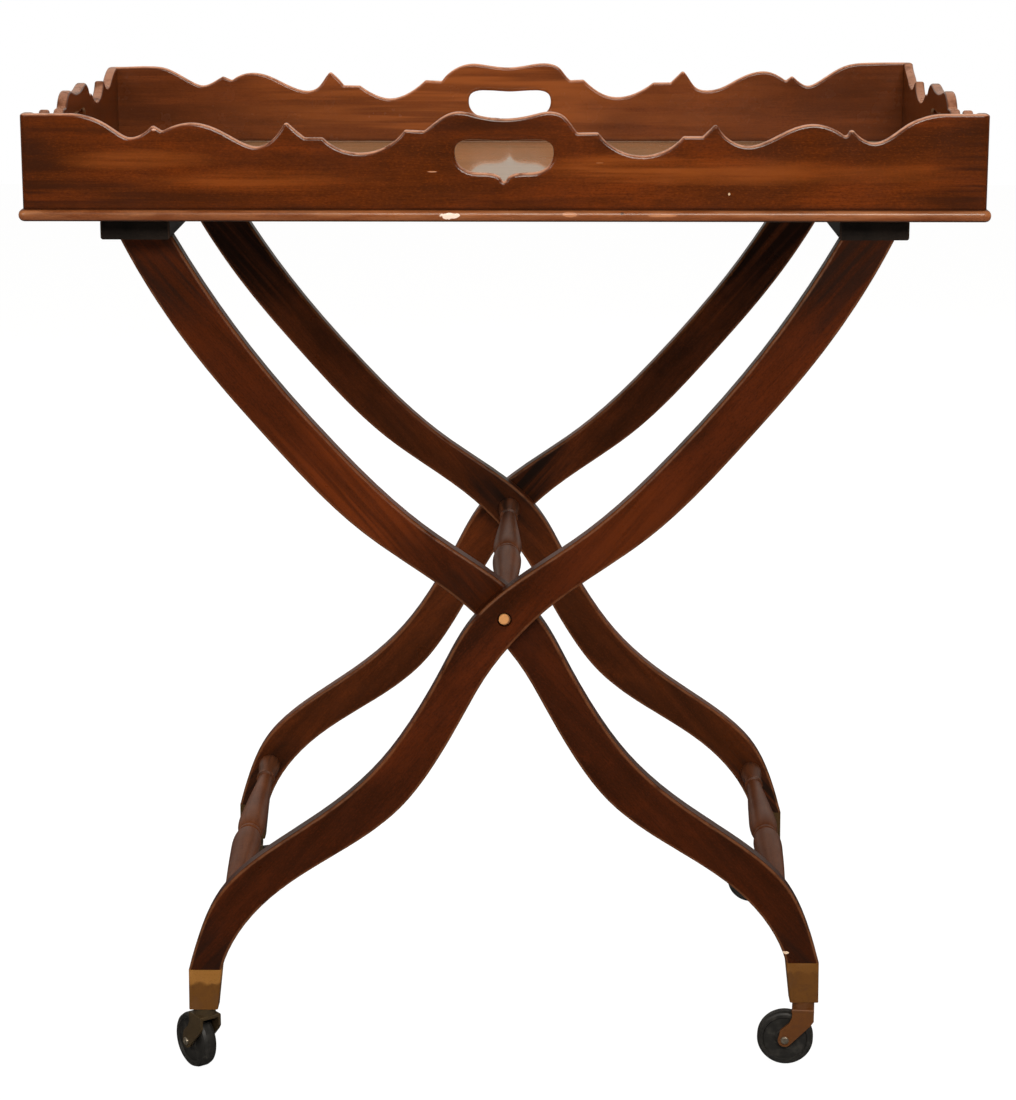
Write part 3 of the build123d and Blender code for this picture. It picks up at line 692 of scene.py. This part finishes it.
@dataclass(frozen=True)
class LinenThread:
    """Waxed linen thread of the stitches."""

    name: str = "waxed linen thread"
    body: Colour = (0.420, 0.330, 0.200)
    shade: Colour = (0.189, 0.1485, 0.090)
    relief_height: float = 0.0002

    def material(self) -> bpy.types.Material:
        """Builds the finish.

        Returns:
            The material.
        """
        tree = MaterialTree(self.name)
        twist = tree.noise(tree.place(), 3500.0, 2.0)
        colour = tree.blend(twist.ramp(0.4, 0.65), self.shade, self.body)
        tree.relief(twist, 0.5, self.relief_height)
        return tree.finish({"Base Color": colour, "Roughness": 0.7, "Specular IOR Level": 0.25})


@dataclass
class Tray:
    """The tray: its board with the moulding, its four galleries and its screws."""

    face: float = -0.2625
    edge: float = -0.2660
    back_face: float = 0.248
    board_top: float = 0.7716
    floor_top: float = 0.7790
    cusps: tuple[tuple[float, float], ...] = ((0.1748, 0.8430), (0.2864, 0.8365))
    warm: Colour = (0.230, 0.056, 0.0085)
    dark: Colour = (0.034, 0.0085, 0.0022)
    bare: Colour = (0.82, 0.67, 0.57)
    fresh: Colour = (0.42, 0.17, 0.075)

    def moulding_chips(self) -> tuple[Chip, ...]:
        """The moulding's knocks, the largest near the middle of the front."""
        return (
            Chip((-0.0452, self.edge, 0.7666), (0.0070, 0.0040, 0.0026), self.bare, 0.50),
            Chip((-0.0392, self.edge, 0.7672), (0.0032, 0.0040, 0.0016), self.bare),
            Chip((0.0540, self.edge, 0.7680), (0.0058, 0.0035, 0.0022), self.fresh),
            Chip((0.0967, self.edge, 0.7688), (0.0016, 0.0035, 0.0012), (0.08, 0.025, 0.010)),
            Chip((0.1300, self.edge, 0.7672), (0.0120, 0.0035, 0.0012), self.fresh),
        )

    def front_chips(self) -> tuple[Chip, ...]:
        """The front gallery's scratches and its knocked cusps, paler on the right."""
        scratches = (
            Chip((-0.0588, self.face, 0.8026), (0.0040, 0.004, 0.0005), (0.46, 0.22, 0.12), 0.5),
            Chip((0.0784, self.face, 0.8100), (0.0030, 0.004, 0.0005), (0.26, 0.08, 0.02), 0.5),
            Chip((0.1845, self.face, 0.7845), (0.0009, 0.004, 0.0011), (0.60, 0.42, 0.26)),
        )
        (inner_x, inner_z), (outer_x, outer_z) = self.cusps
        pale, pink = (0.0024, 0.012, 0.0013), (0.0020, 0.012, 0.0010)
        return scratches + (
            Chip((inner_x, self.face, inner_z), pale, (0.62, 0.38, 0.24)),
            Chip((outer_x, self.face, outer_z), pale, (0.66, 0.44, 0.30)),
            Chip((-inner_x, self.face, inner_z), pink, (0.52, 0.26, 0.17)),
            Chip((-outer_x, self.face, outer_z), pink, (0.52, 0.26, 0.17)),
        )

    def front_patches(self) -> tuple[Patch, ...]:
        """Where the front is warmer or darker: X and Z of the middle, then how far it reaches."""
        warm, dark, through = self.warm, self.dark, 0.2
        spots = (
            (-0.300, 0.812, 0.075, 0.010, warm, 0.65),
            (-0.215, 0.796, 0.100, 0.011, warm, 0.55),
            (-0.360, 0.836, 0.075, 0.016, dark, 0.55),
            (-0.280, 0.780, 0.110, 0.010, dark, 0.50),
            (-0.170, 0.812, 0.080, 0.012, dark, 0.30),
            (0.092, 0.832, 0.032, 0.013, dark, 0.90),
            (0.105, 0.806, 0.085, 0.016, warm, 0.80),
            (0.205, 0.802, 0.100, 0.014, warm, 0.70),
            (0.330, 0.800, 0.060, 0.015, warm, 0.35),
            (-0.392, 0.815, 0.040, 0.060, dark, 0.85),
            (-0.350, 0.786, 0.090, 0.015, dark, 0.75),
            (-0.010, 0.838, 0.075, 0.014, dark, 0.60),
            (0.010, 0.783, 0.110, 0.012, dark, 0.50),
            (0.393, 0.805, 0.045, 0.060, dark, 0.85),
            (0.372, 0.782, 0.050, 0.013, dark, 0.60),
            (0.150, 0.838, 0.030, 0.010, dark, 0.45),
            (-0.140, 0.826, 0.050, 0.010, dark, 0.30),
        )
        return tuple(Patch((x, self.face, z), (rx, through, rz), c, s) for x, z, rx, rz, c, s in spots)

    def back_patches(self) -> tuple[Patch, ...]:
        """The back gallery's bleached middle and painted shade at its ends, in the inner corners."""
        bright, dim = (0.275, 0.0760, 0.0170), (0.060, 0.0140, 0.0030)
        middle = self.back_face, 0.82
        bleached = tuple(Patch((x, *middle), (rx, 0.1, 0.06), bright, share)
                         for x, rx, share in ((-0.14, 0.15, 0.65), (-0.02, 0.15, 0.95), (0.15, 0.12, 0.35)))
        # Painted shade in the back gallery's inner corners.
        return bleached + tuple(Patch((x, *middle), (0.13, 0.1, 0.07), dim, 0.55) for x in (-0.38, 0.38))

    def dress(self) -> None:
        """Gives every CAD node of the tray its finish."""
        front = Mahogany(
            "front gallery mahogany", GrainRun.ALONG_TRAY, chips=self.front_chips(),
            patches=self.front_patches(), dark_foot_from=self.board_top, dark_foot_height=0.0030)
        back = Mahogany(
            "back gallery mahogany", GrainRun.ALONG_TRAY, patches=self.back_patches(),
            deep=(0.064, 0.0165, 0.0040), body=(0.136, 0.0330, 0.0074), ember=(0.190, 0.0460, 0.0100),
            roughness=0.26, coat=0.14, specular=0.24, dark_foot_from=self.floor_top, dark_foot_height=0.0040)
        ends = Mahogany(
            "end gallery mahogany", GrainRun.ACROSS_TRAY, deep=(0.034, 0.0080, 0.0014),
            body=(0.085, 0.0180, 0.0026), ember=(0.140, 0.0270, 0.0030), rub=0.45,
            dark_foot_from=self.board_top, dark_foot_height=0.0040)
        steel = AgedBrass("dull steel screws", (0.30, 0.29, 0.27), (0.16, 0.15, 0.14), (0.05, 0.04, 0.035))
        wear(front.material(), "gallery_front")
        wear(back.material(), "gallery_back")
        wear(ends.material(), "gallery_left", "gallery_right")
        wear(TrayBoard(chips=self.moulding_chips()).material(), "base_board")
        wear(steel.material(), "tray_screws")


@dataclass
class Stand:
    """The folding stand: two crossed frames, their stretchers, rails and pivot pins."""

    deep: Colour = (0.0200, 0.0050, 0.0012)
    body: Colour = (0.0550, 0.0108, 0.0018)
    ember: Colour = (0.0920, 0.0160, 0.0022)
    rubbed: Colour = (0.2100, 0.0800, 0.0320)
    # Near-black for the painted shade under the tray, at the crossings and at the stretchers' far ends, and
    # for the darker feet.
    shade_and_foot_dark: Colour = (0.012, 0.006, 0.004)
    foot_x: float = 0.262
    front_y: float = -0.24
    back_y: float = 0.23
    crossing_z: float = 0.418

    def wood(self, name: str, run: GrainRun, **changes: object) -> bpy.types.Material:
        """The stand's darker mahogany.

        Args:
            name: the material's name.
            run: the way its grain runs.
            changes: fields of the finish that differ.

        Returns:
            The material.
        """
        fields = {"deep": self.deep, "body": self.body, "ember": self.ember, "rubbed": self.rubbed,
                  "rub": 0.50, "roughness": 0.30, "coat": 0.04, "specular": 0.12, "rub_and_highlight_on_tops": False}
        return Mahogany(name, run, **{**fields, **changes}).material()

    def feet(self) -> tuple[Patch, ...]:
        """The feet of all four legs, made darker towards the floor."""
        return tuple(Patch((x, y, 0.105), (0.05, 0.2, 0.05), self.shade_and_foot_dark, 0.75)
                     for x in (-self.foot_x, self.foot_x) for y in (-self.back_y, self.back_y))

    def front_patches(self) -> tuple[Patch, ...]:
        """The front legs: painted light half way up, painted shade under the tray and beside the crossing."""
        # Painted shade on the front legs' tops, under the tray.
        shade = tuple(Patch((x, self.front_y, 0.720), (0.09, 0.05, 0.07), self.shade_and_foot_dark, 0.75)
                      for x in (-0.280, 0.280))
        # Painted shade beside the crossing, where one leg lies behind the other.
        crossing = Patch((-0.035, -0.25, 0.440), (0.045, 0.1, 0.035), (0.022, 0.007, 0.003), 0.75)
        # Painted light: lighter patches half way up the front legs.
        painted_light = (
            Patch((-0.130, self.front_y, 0.530), (0.11, 0.1, 0.11), (0.135, 0.0250, 0.0035), 0.75),
            Patch((0.105, self.front_y, 0.500), (0.09, 0.1, 0.08), (0.120, 0.0220, 0.0030), 0.50),
        )
        return self.feet() + painted_light + (crossing,) + shade

    def back_patches(self) -> tuple[Patch, ...]:
        """The back legs: painted shade, nearly black, at the crossing, under the tray and at the feet."""
        # Painted shade at the back crossing.
        crossed = (
            Patch((0.0, self.back_y, 0.445), (0.075, 0.1, 0.075), self.shade_and_foot_dark, 0.95),
            Patch((0.0, self.back_y, 0.460), (0.050, 0.1, 0.050), self.shade_and_foot_dark, 0.70),
        )
        # Painted shade on the back legs' tops, under the tray.
        tops = tuple(Patch((x, self.back_y, 0.690), (0.14, 0.1, 0.09), (0.007, 0.003, 0.0015), share)
                     for x in (-0.25, 0.25) for share in (0.80, 0.50))
        # Painted shade at the back feet.
        low = tuple(Patch((x, self.back_y, 0.125), (0.09, 0.2, 0.06), self.shade_and_foot_dark, 0.80)
                    for x in (-self.foot_x, self.foot_x))
        return self.feet() + crossed + tops + low

    def stretcher_patches(self) -> tuple[Patch, ...]:
        """Painted shade on the stretchers' far ends, which lie in the dark."""
        # Painted shade at the far ends of the pivot stretcher and the lower stretchers.
        pivot = Patch((0.0, 0.25, self.crossing_z), (0.06, 0.16, 0.06), self.shade_and_foot_dark, 0.90)
        lower = tuple(Patch((x, 0.25, 0.120), (0.10, 0.11, 0.07), (0.020, 0.011, 0.007), 0.75)
                      for x in (-0.26, 0.26))
        return (pivot,) + lower

    def dress(self) -> None:
        """Gives every CAD node of the stand its finish."""
        knock = (Chip((0.2482, -0.221, 0.1085), (0.0034, 0.005, 0.0013), (0.74, 0.55, 0.40), 0.25),)
        tick = (Chip((-0.2290, -0.242, 0.1280), (0.0012, 0.004, 0.0012), (0.55, 0.30, 0.17), 0.25),)
        front, back = self.front_patches(), {
            "deep": (0.0300, 0.0080, 0.0020), "body": (0.0860, 0.0190, 0.0038),
            "ember": (0.1350, 0.0280, 0.0045), "patches": self.back_patches(),
        }
        rising, falling = GrainRun.RISING_RIGHT, GrainRun.RISING_LEFT
        turned = self.wood(
            "turned stretcher mahogany", GrainRun.ACROSS_TRAY, deep=(0.050, 0.0150, 0.0060),
            body=(0.105, 0.0330, 0.0120), ember=(0.150, 0.0480, 0.0170), patches=self.stretcher_patches(),
            roughness=0.36, coat=0.0, specular=0.15, rub=0.0)
        rail = self.wood(
            "blackened rail wood", GrainRun.ACROSS_TRAY, deep=(0.0055, 0.0038, 0.0028),
            body=(0.0130, 0.0085, 0.0060), ember=(0.0200, 0.0120, 0.0080), rubbed=(0.050, 0.028, 0.018),
            roughness=0.5, coat=0.05)
        wear(self.wood("outer leg mahogany", rising, patches=front, chips=tick), "outer_leg_front")
        wear(self.wood("inner leg mahogany", falling, patches=front, chips=knock), "inner_leg_front")
        wear(self.wood("outer back leg mahogany", rising, **back), "outer_leg_back")
        wear(self.wood("inner back leg mahogany", falling, **back), "inner_leg_back")
        wear(turned, "outer_lower_stretcher", "inner_lower_stretcher", "pivot_stretcher")
        wear(rail, "outer_rail", "inner_rail")
        wear(DowelEnd().material(), "pivot_pin_front", "pivot_pin_back")


@dataclass
class Casters:
    """The brass feet and their swivel casters."""

    corners: tuple[str, ...] = ("front_left", "back_left", "front_right", "back_right")
    bright: Colour = (0.420, 0.185, 0.035)
    handled_left: tuple[float, float] = (0.0835, 0.0875)
    handled_right: tuple[float, float] = (0.0880, 0.0905)

    def cups(self) -> dict[str, bpy.types.Material]:
        """The cups' finishes by corner: bright in front on the left, darker at the back with painted shade.
        """
        left = AgedBrass(
            "aged cup brass, handled above", self.bright, (0.185, 0.072, 0.010), (0.100, 0.036, 0.005),
            *self.handled_left, metal=0.35)
        right = AgedBrass(
            "aged cup brass", (0.230, 0.092, 0.015), (0.180, 0.068, 0.010), (0.075, 0.028, 0.005),
            *self.handled_right, metal=0.35)
        # The back cups are a darker copy of the brass: painted shade.
        far = AgedBrass(
            "aged cup brass, painted shade", self.bright, (0.085, 0.042, 0.010), (0.035, 0.018, 0.006), metal=0.35)
        grimy = far.material()
        return {"front_left": left.material(), "front_right": right.material(),
                "back_left": grimy, "back_right": grimy}

    def forks(self) -> dict[str, bpy.types.Material]:
        """The forks' finishes by side: dark on the left, redder on the right."""
        dark = AgedBrass(
            "dark caster bronze", (0.1, 0.05, 0.02), (0.075, 0.048, 0.020), (0.030, 0.020, 0.010),
            roughness=0.48, metal=0.4)
        red = AgedBrass(
            "reddish caster bronze", (0.1, 0.05, 0.02), (0.175, 0.060, 0.013), (0.080, 0.028, 0.007),
            roughness=0.46, metal=0.4)
        return {"left": dark.material(), "right": red.material()}

    def dress(self) -> None:
        """Gives every CAD node of the casters its finish."""
        steel = AgedBrass(
            "worn axle steel", (0.3, 0.3, 0.3), (0.400, 0.345, 0.270), (0.140, 0.110, 0.075), roughness=0.34)
        cups, forks = self.cups(), self.forks()
        rod, wheel = steel.material(), BlackWheel().material()
        for corner in self.corners:
            side = corner.split("_")[1]
            wear(cups[corner], f"caster_{corner}_cup")
            wear(forks[side], f"caster_{corner}_fork")
            wear(rod, f"caster_{corner}_axle")
            wear(wheel, f"caster_{corner}_wheel")
        wear(cups["front_right"], "outer_cup_screws", "inner_cup_screws")


@dataclass
class Straps:
    """The webbing straps across the rails, with their stitches."""

    width: float = 0.050
    thick: float = 0.0015
    rail_top: float = 0.7600
    rail_face: float = 0.3360
    turn_down: float = 0.0120
    bend: float = 0.0022
    corner_steps: int = 4
    span_steps: int = 40
    columns: int = 12
    ease: float = 0.96
    selvedge: float = 0.62
    joint_reach: float = 0.270
    places: dict[str, float] = field(default_factory=lambda: {"front": -0.165, "middle": 0.0, "back": 0.165})
    stitch_rows: tuple[float, ...] = (0.060, 0.068)
    stitches_per_row: int = 11
    stitch_margin: float = 0.004
    stitch_length: float = 0.0026
    stitch_radius: float = 0.00032
    stitch_sunk: float = 0.3
    stitch_lean: float = 0.12
    stitch_seed: int = 7

    def path(self) -> list[Point]:
        """The strap's middle line over both rails, rounded at the rails' edges.

        Returns:
            Points from the right-hand end to the left-hand end, with y left at zero.
        """
        half, bend = self.thick / 2, self.bend
        top, low = self.rail_top + half, self.rail_top - self.turn_down
        side, steps = self.rail_face + half, self.corner_steps
        right: list[Point] = [(side, 0.0, low + (top - bend - low) * i / steps) for i in range(steps + 1)]
        for i in range(1, steps + 1):
            angle = math.pi / 2 * i / steps
            right.append((side - bend + bend * math.cos(angle), 0.0, top - bend + bend * math.sin(angle)))
        span = self.span_steps
        right += [((side - bend) * (1.0 - i / span), 0.0, top) for i in range(1, span + 1)]
        left = [(-x, y, z) for x, y, z in reversed(right[:-1])]
        return right + left

    def ribbon(self, name: str, y: float) -> bpy.types.Object:
        """One strap as a thin closed band with its own map.

        Args:
            name: the piece's name.
            y: the strap's place along the rails.

        Returns:
            The new object.
        """
        line = [Vector(p) for p in self.path()]
        mesh = bmesh.new()
        uv_layer = mesh.loops.layers.uv.new("weave")
        lengths = [0.0]
        for before, after in zip(line, line[1:]):
            lengths.append(lengths[-1] + (after - before).length)
        rows = [self.ring(mesh, line, index, y) for index in range(len(line))]
        for row, (lower, upper) in enumerate(zip(rows, rows[1:])):
            edge = set(lower)
            for k, vert in enumerate(lower):
                after = (k + 1) % len(lower)
                face = mesh.faces.new((vert, lower[after], upper[after], upper[k]))
                face.smooth = True
                self.lay_map(face, uv_layer, y, lengths[row:row + 2], edge)
        mesh.faces.new(list(reversed(rows[0])))
        mesh.faces.new(rows[-1])
        bmesh.ops.recalc_face_normals(mesh, faces=mesh.faces)
        data = bpy.data.meshes.new(name)
        mesh.to_mesh(data)
        mesh.free()
        made = bpy.data.objects.new(name, data)
        bpy.context.scene.collection.objects.link(made)
        return made

    def ring(self, mesh: bmesh.types.BMesh, line: list[Vector], index: int, y: float) -> list:
        """One section across the strap, thinner at its two selvedges.

        Args:
            mesh: the mesh that the vertices go into.
            line: the strap's middle line.
            index: the point of the line.
            y: the strap's place along the rails.

        Returns:
            The section's vertices, over the outer face and back over the inner one.
        """
        point = line[index]
        ahead = line[min(index + 1, len(line) - 1)] - line[max(index - 1, 0)]
        out = Vector((ahead.z, 0.0, -ahead.x)).normalized()
        section = []
        for sign in (1.0, -1.0):
            order = range(self.columns + 1) if sign > 0 else range(self.columns, -1, -1)
            for column in order:
                thin = self.selvedge if column in (0, self.columns) else 1.0
                off = out * (sign * self.thick / 2 * thin * self.ease)
                across = (column / self.columns - 0.5) * self.width
                section.append(mesh.verts.new((point.x + off.x, y + across, point.z + off.z)))
        return section

    def lay_map(self, face: bmesh.types.BMFace, layer: object, y: float, along: list[float],
                lower: set) -> None:
        """Writes a face's place on the weave: across in shares of the width, along in metres.

        Args:
            face: the face.
            layer: the map's layer.
            y: the strap's place along the rails.
            along: how far its lower and upper edges lie along the strap.
            lower: the vertices of the section that its lower edge lies on.
        """
        for loop in face.loops:
            across = (loop.vert.co.y - y) / self.width + 0.5
            loop[layer].uv = (across, along[0] if loop.vert in lower else along[1])

    def stitch_tree(self, thread: bpy.types.Material) -> bpy.types.NodeTree:
        """A Geometry Nodes tree that sets rows of stitches across a strap's end.

        Args:
            thread: the stitches' material.

        Returns:
            The tree, with inputs for the count, the spacing, the rows and the stitch's size.
        """
        group = bpy.data.node_groups.new("stitch rows", "GeometryNodeTree")
        group.interface.new_socket("Geometry", in_out="OUTPUT", socket_type="NodeSocketGeometry")
        near, far = self.stitch_rows
        sizes = {
            "Stitches": ("NodeSocketInt", self.stitches_per_row),
            "Spacing": ("NodeSocketFloat", self.stitch_spacing()),
            "Rows": ("NodeSocketInt", len(self.stitch_rows)),
            "Row Gap": ("NodeSocketFloat", far - near),
            "Length": ("NodeSocketFloat", self.stitch_length),
            "Radius": ("NodeSocketFloat", self.stitch_radius),
        }
        for name, (kind, value) in sizes.items():
            group.interface.new_socket(name, in_out="INPUT", socket_type=kind).default_value = value
        tree = NodeTree(group)
        given = tree.nodes.new("NodeGroupInput")
        count, spacing, rows, gap, length, radius = (Signal(tree, given.outputs[name]) for name in sizes)
        grid = tree.node("GeometryNodeMeshGrid", {}, {
            "Size X": (rows - 1.0) * gap, "Size Y": (count - 1.0) * spacing,
            "Vertices X": rows, "Vertices Y": count,
        }, "Mesh")
        points = tree.node("GeometryNodeMeshToPoints", {}, {"Mesh": grid})
        stitch = tree.node("GeometryNodeMeshUVSphere", {}, {"Segments": 6, "Rings": 5, "Radius": 1.0}, "Mesh")
        shape = tree.node("ShaderNodeCombineXYZ", {}, {0: radius, 1: length * 0.5, 2: radius})
        lean = tree.node("FunctionNodeRandomValue", {"data_type": "FLOAT_VECTOR"}, {
            0: (0.0, 0.0, -self.stitch_lean), 1: (0.0, 0.0, self.stitch_lean), "Seed": self.stitch_seed,
        })
        scatter = tree.node("GeometryNodeInstanceOnPoints", {}, {
            "Points": points, "Instance": stitch, "Rotation": lean, "Scale": shape,
        })
        solid = tree.node("GeometryNodeRealizeInstances", {}, {0: scatter})
        dressed = tree.node("GeometryNodeSetMaterial", {}, {"Geometry": solid, "Material": thread})
        tree.links.new(dressed.socket, tree.nodes.new("NodeGroupOutput").inputs[0])
        return group

    def stitch_spacing(self) -> float:
        """How far apart the stitches of a row lie."""
        return (self.width - 2 * self.stitch_margin) / (self.stitches_per_row - 1)

    def stitches(self, name: str, tree: bpy.types.NodeTree, side: float, y: float) -> bpy.types.Object:
        """The two rows of stitches at one end of one strap.

        Args:
            name: the piece's name.
            tree: the Geometry Nodes tree.
            side: +1 on the right, -1 on the left.
            y: the strap's place along the rails.

        Returns:
            The stitches as one plain mesh in place.
        """
        bare = bpy.data.objects.new(name + "_maker", bpy.data.meshes.new(name + "_maker"))
        bpy.context.scene.collection.objects.link(bare)
        modifier = bare.modifiers.new("stitches", "NODES")
        modifier.node_group = tree
        keys = {item.name: item.identifier for item in tree.interface.items_tree if item.in_out == "INPUT"}
        modifier[keys["Stitches"]] = self.stitches_per_row
        modifier[keys["Spacing"]] = self.stitch_spacing()
        modifier[keys["Row Gap"]] = self.stitch_rows[1] - self.stitch_rows[0]
        graph = bpy.context.evaluated_depsgraph_get()
        data = bpy.data.meshes.new_from_object(bare.evaluated_get(graph))
        bpy.data.objects.remove(bare)
        x = side * (self.rail_face - sum(self.stitch_rows) / 2)
        z = self.rail_top - self.stitch_radius * self.stitch_sunk
        data.transform(Matrix.Translation((x, y, z)))
        made = bpy.data.objects.new(name, data)
        bpy.context.scene.collection.objects.link(made)
        return made

    def build(self) -> None:
        """Makes the straps and their stitches, dresses them and fastens the stitches to the frames."""
        webbing, thread = Webbing().material(), LinenThread().material()
        tree = self.stitch_tree(thread)
        points = [Vector(p) for p in self.path()]
        for end, y in self.places.items():
            band = self.ribbon("webbing_" + end, y)
            band.data.materials.append(webbing)
            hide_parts("strap_" + end)
            for side, body, hand in ((1.0, "outer_frame", "right"), (-1.0, "inner_frame", "left")):
                row = self.stitches(f"stitches_{end}_{hand}", tree, side, y)
                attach(row, body)
            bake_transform(band)
        self.dress_tacks()

    def dress_tacks(self) -> None:
        """Gives the tacks their finish."""
        brass = AgedBrass(
            "domed tack brass", (0.5, 0.3, 0.1), (0.330, 0.170, 0.050), (0.110, 0.050, 0.015))
        wear(brass.material(), "outer_strap_tacks", "inner_strap_tacks")


@dataclass(frozen=True)
class Lamp:
    """A soft rectangular lamp."""

    name: str
    place: Point
    target: Point
    size: tuple[float, float]
    watts: float
    in_reflections: bool = False

    def light(self, colour: Colour) -> None:
        """Sets the lamp up.

        Args:
            colour: the colour of its light.
        """
        data = bpy.data.lights.new(self.name, "AREA")
        data.shape = "RECTANGLE"
        data.size, data.size_y = self.size
        data.energy = self.watts
        data.color = colour
        made = bpy.data.objects.new(self.name, data)
        bpy.context.scene.collection.objects.link(made)
        made.visible_glossy = self.in_reflections
        made.location = self.place
        aim = Vector(self.target) - Vector(self.place)
        made.rotation_euler = aim.to_track_quat("-Z", "Y").to_euler()


@dataclass
class Studio:
    """The pale floor, the soft lights and the camera."""

    eye: Point = (0.0262, -2.6816, 1.0562)
    pitch_down: float = 0.2321
    turn_left: float = 0.0095
    lens: float = 104.4
    sensor: float = 36.0
    far_clip: float = 60.0
    floor_size: float = 14.0
    warm: Colour = (1.0, 0.94, 0.86)
    white: Colour = (1.0, 1.0, 1.0)
    lamps: tuple[Lamp, ...] = (
        Lamp("key", (0.7, -3.1, 2.5), (0.0, 0.0, 0.5), (2.2, 1.0), 98.0, True),
        Lamp("fill", (-2.2, -2.6, 2.2), (0.0, 0.0, 0.5), (1.6, 1.0), 26.0, True),
        Lamp("overhead", (0.0, 0.8, 2.6), (0.0, 0.1, 0.6), (2.6, 1.2), 40.0),
        Lamp("right side", (3.0, 0.3, 1.4), (0.0, 0.3, 0.5), (1.6, 1.2), 26.0),
        Lamp("left side", (-3.0, 0.3, 1.4), (0.0, 0.3, 0.5), (1.6, 1.2), 20.0),
        Lamp("behind", (-0.8, 3.2, 1.8), (0.0, 0.0, 0.5), (2.0, 1.2), 34.0),
    )

    def floor(self) -> None:
        """A wide pale floor that shows white and keeps a soft shadow."""
        bpy.ops.mesh.primitive_plane_add(size=self.floor_size, location=(0.0, 0.0, 0.0))
        ground = bpy.context.object
        ground.name = "floor"
        tree = MaterialTree("pale studio floor")
        tree.nodes.remove(tree.surface)
        plain = tree.node("ShaderNodeBsdfDiffuse", {}, {"Color": (0.80, 0.80, 0.80)})
        shining = tree.node("ShaderNodeEmission", {}, {"Color": self.white, "Strength": 1.13})
        dim = tree.node("ShaderNodeEmission", {}, {"Color": (1.0, 0.96, 0.92), "Strength": 0.05})
        glossy = tree.node("ShaderNodeLightPath", {}, {}, "Is Glossy Ray")
        mixed = tree.node("ShaderNodeMixShader", {}, {0: self.seen(tree) * 0.85, 1: plain, 2: shining})
        mixed = tree.node("ShaderNodeMixShader", {}, {0: glossy, 1: mixed, 2: dim})
        tree.links.new(mixed.socket, tree.output.inputs["Surface"])
        ground.data.materials.append(tree.material)

    def seen(self, tree: NodeTree) -> Signal:
        """1 for rays straight from the camera or through something clear."""
        camera = tree.node("ShaderNodeLightPath", {}, {}, "Is Camera Ray")
        clear = tree.node("ShaderNodeLightPath", {}, {}, "Is Transmission Ray")
        return camera.at_least(clear)

    def world(self) -> None:
        """A white surround for the camera and a dim one, darker in front, for the light."""
        world = bpy.data.worlds.new("studio")
        bpy.context.scene.world = world
        world.use_nodes = True
        tree = NodeTree(world.node_tree)
        _, y, z = tree.parts(tree.node("ShaderNodeTexCoord", {}, {}, "Generated"))
        glossy = tree.node("ShaderNodeLightPath", {}, {}, "Is Glossy Ray")
        ambient = 0.13 + 0.10 * z.ramp(-0.2, 0.9)
        gloss = 0.03 + y.ramp(0.20, 0.80) * 0.38
        strength = ambient + glossy * (gloss - ambient)
        strength = strength + self.seen(tree) * (1.0 - strength)
        tint = tree.blend(self.seen(tree), self.warm, self.white)
        back = tree.node("ShaderNodeBackground", {}, {"Color": tint, "Strength": strength})
        output = tree.nodes.new("ShaderNodeOutputWorld")
        tree.links.new(back.socket, output.inputs["Surface"])

    def camera(self) -> None:
        """The camera at the photograph's angle."""
        data = bpy.data.cameras.new("camera")
        data.sensor_fit = "HORIZONTAL"
        data.sensor_width = self.sensor
        data.lens = self.lens
        data.clip_end = self.far_clip
        made = bpy.data.objects.new("camera", data)
        bpy.context.scene.collection.objects.link(made)
        made.location = self.eye
        made.rotation_euler = (math.pi / 2 - self.pitch_down, 0.0, self.turn_left)
        bpy.context.scene.camera = made

    def build(self) -> None:
        """Sets the whole studio up."""
        self.floor()
        self.world()
        for lamp in self.lamps:
            lamp.light(self.warm)
        self.camera()
        bpy.context.scene.view_settings.view_transform = "Standard"
        LOG.info("studio ready")


def wear(material: bpy.types.Material, *nodes: str) -> None:
    """Gives CAD nodes a finish.

    Args:
        material: the finish.
        nodes: the nodes' names.
    """
    for name in nodes:
        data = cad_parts[name].data
        data.materials.clear()
        data.materials.append(material)
        LOG.info("%s wears %s", name, material.name)


def main() -> None:
    """Builds the studio, dresses the tray and the stand, and makes the straps."""
    logging.basicConfig(level=logging.INFO, format="%(name)s: %(message)s")
    Studio().build()
    Tray().dress()
    Stand().dress()
    Casters().dress()
    Straps().build()


if __name__ == "__main__":
    main()
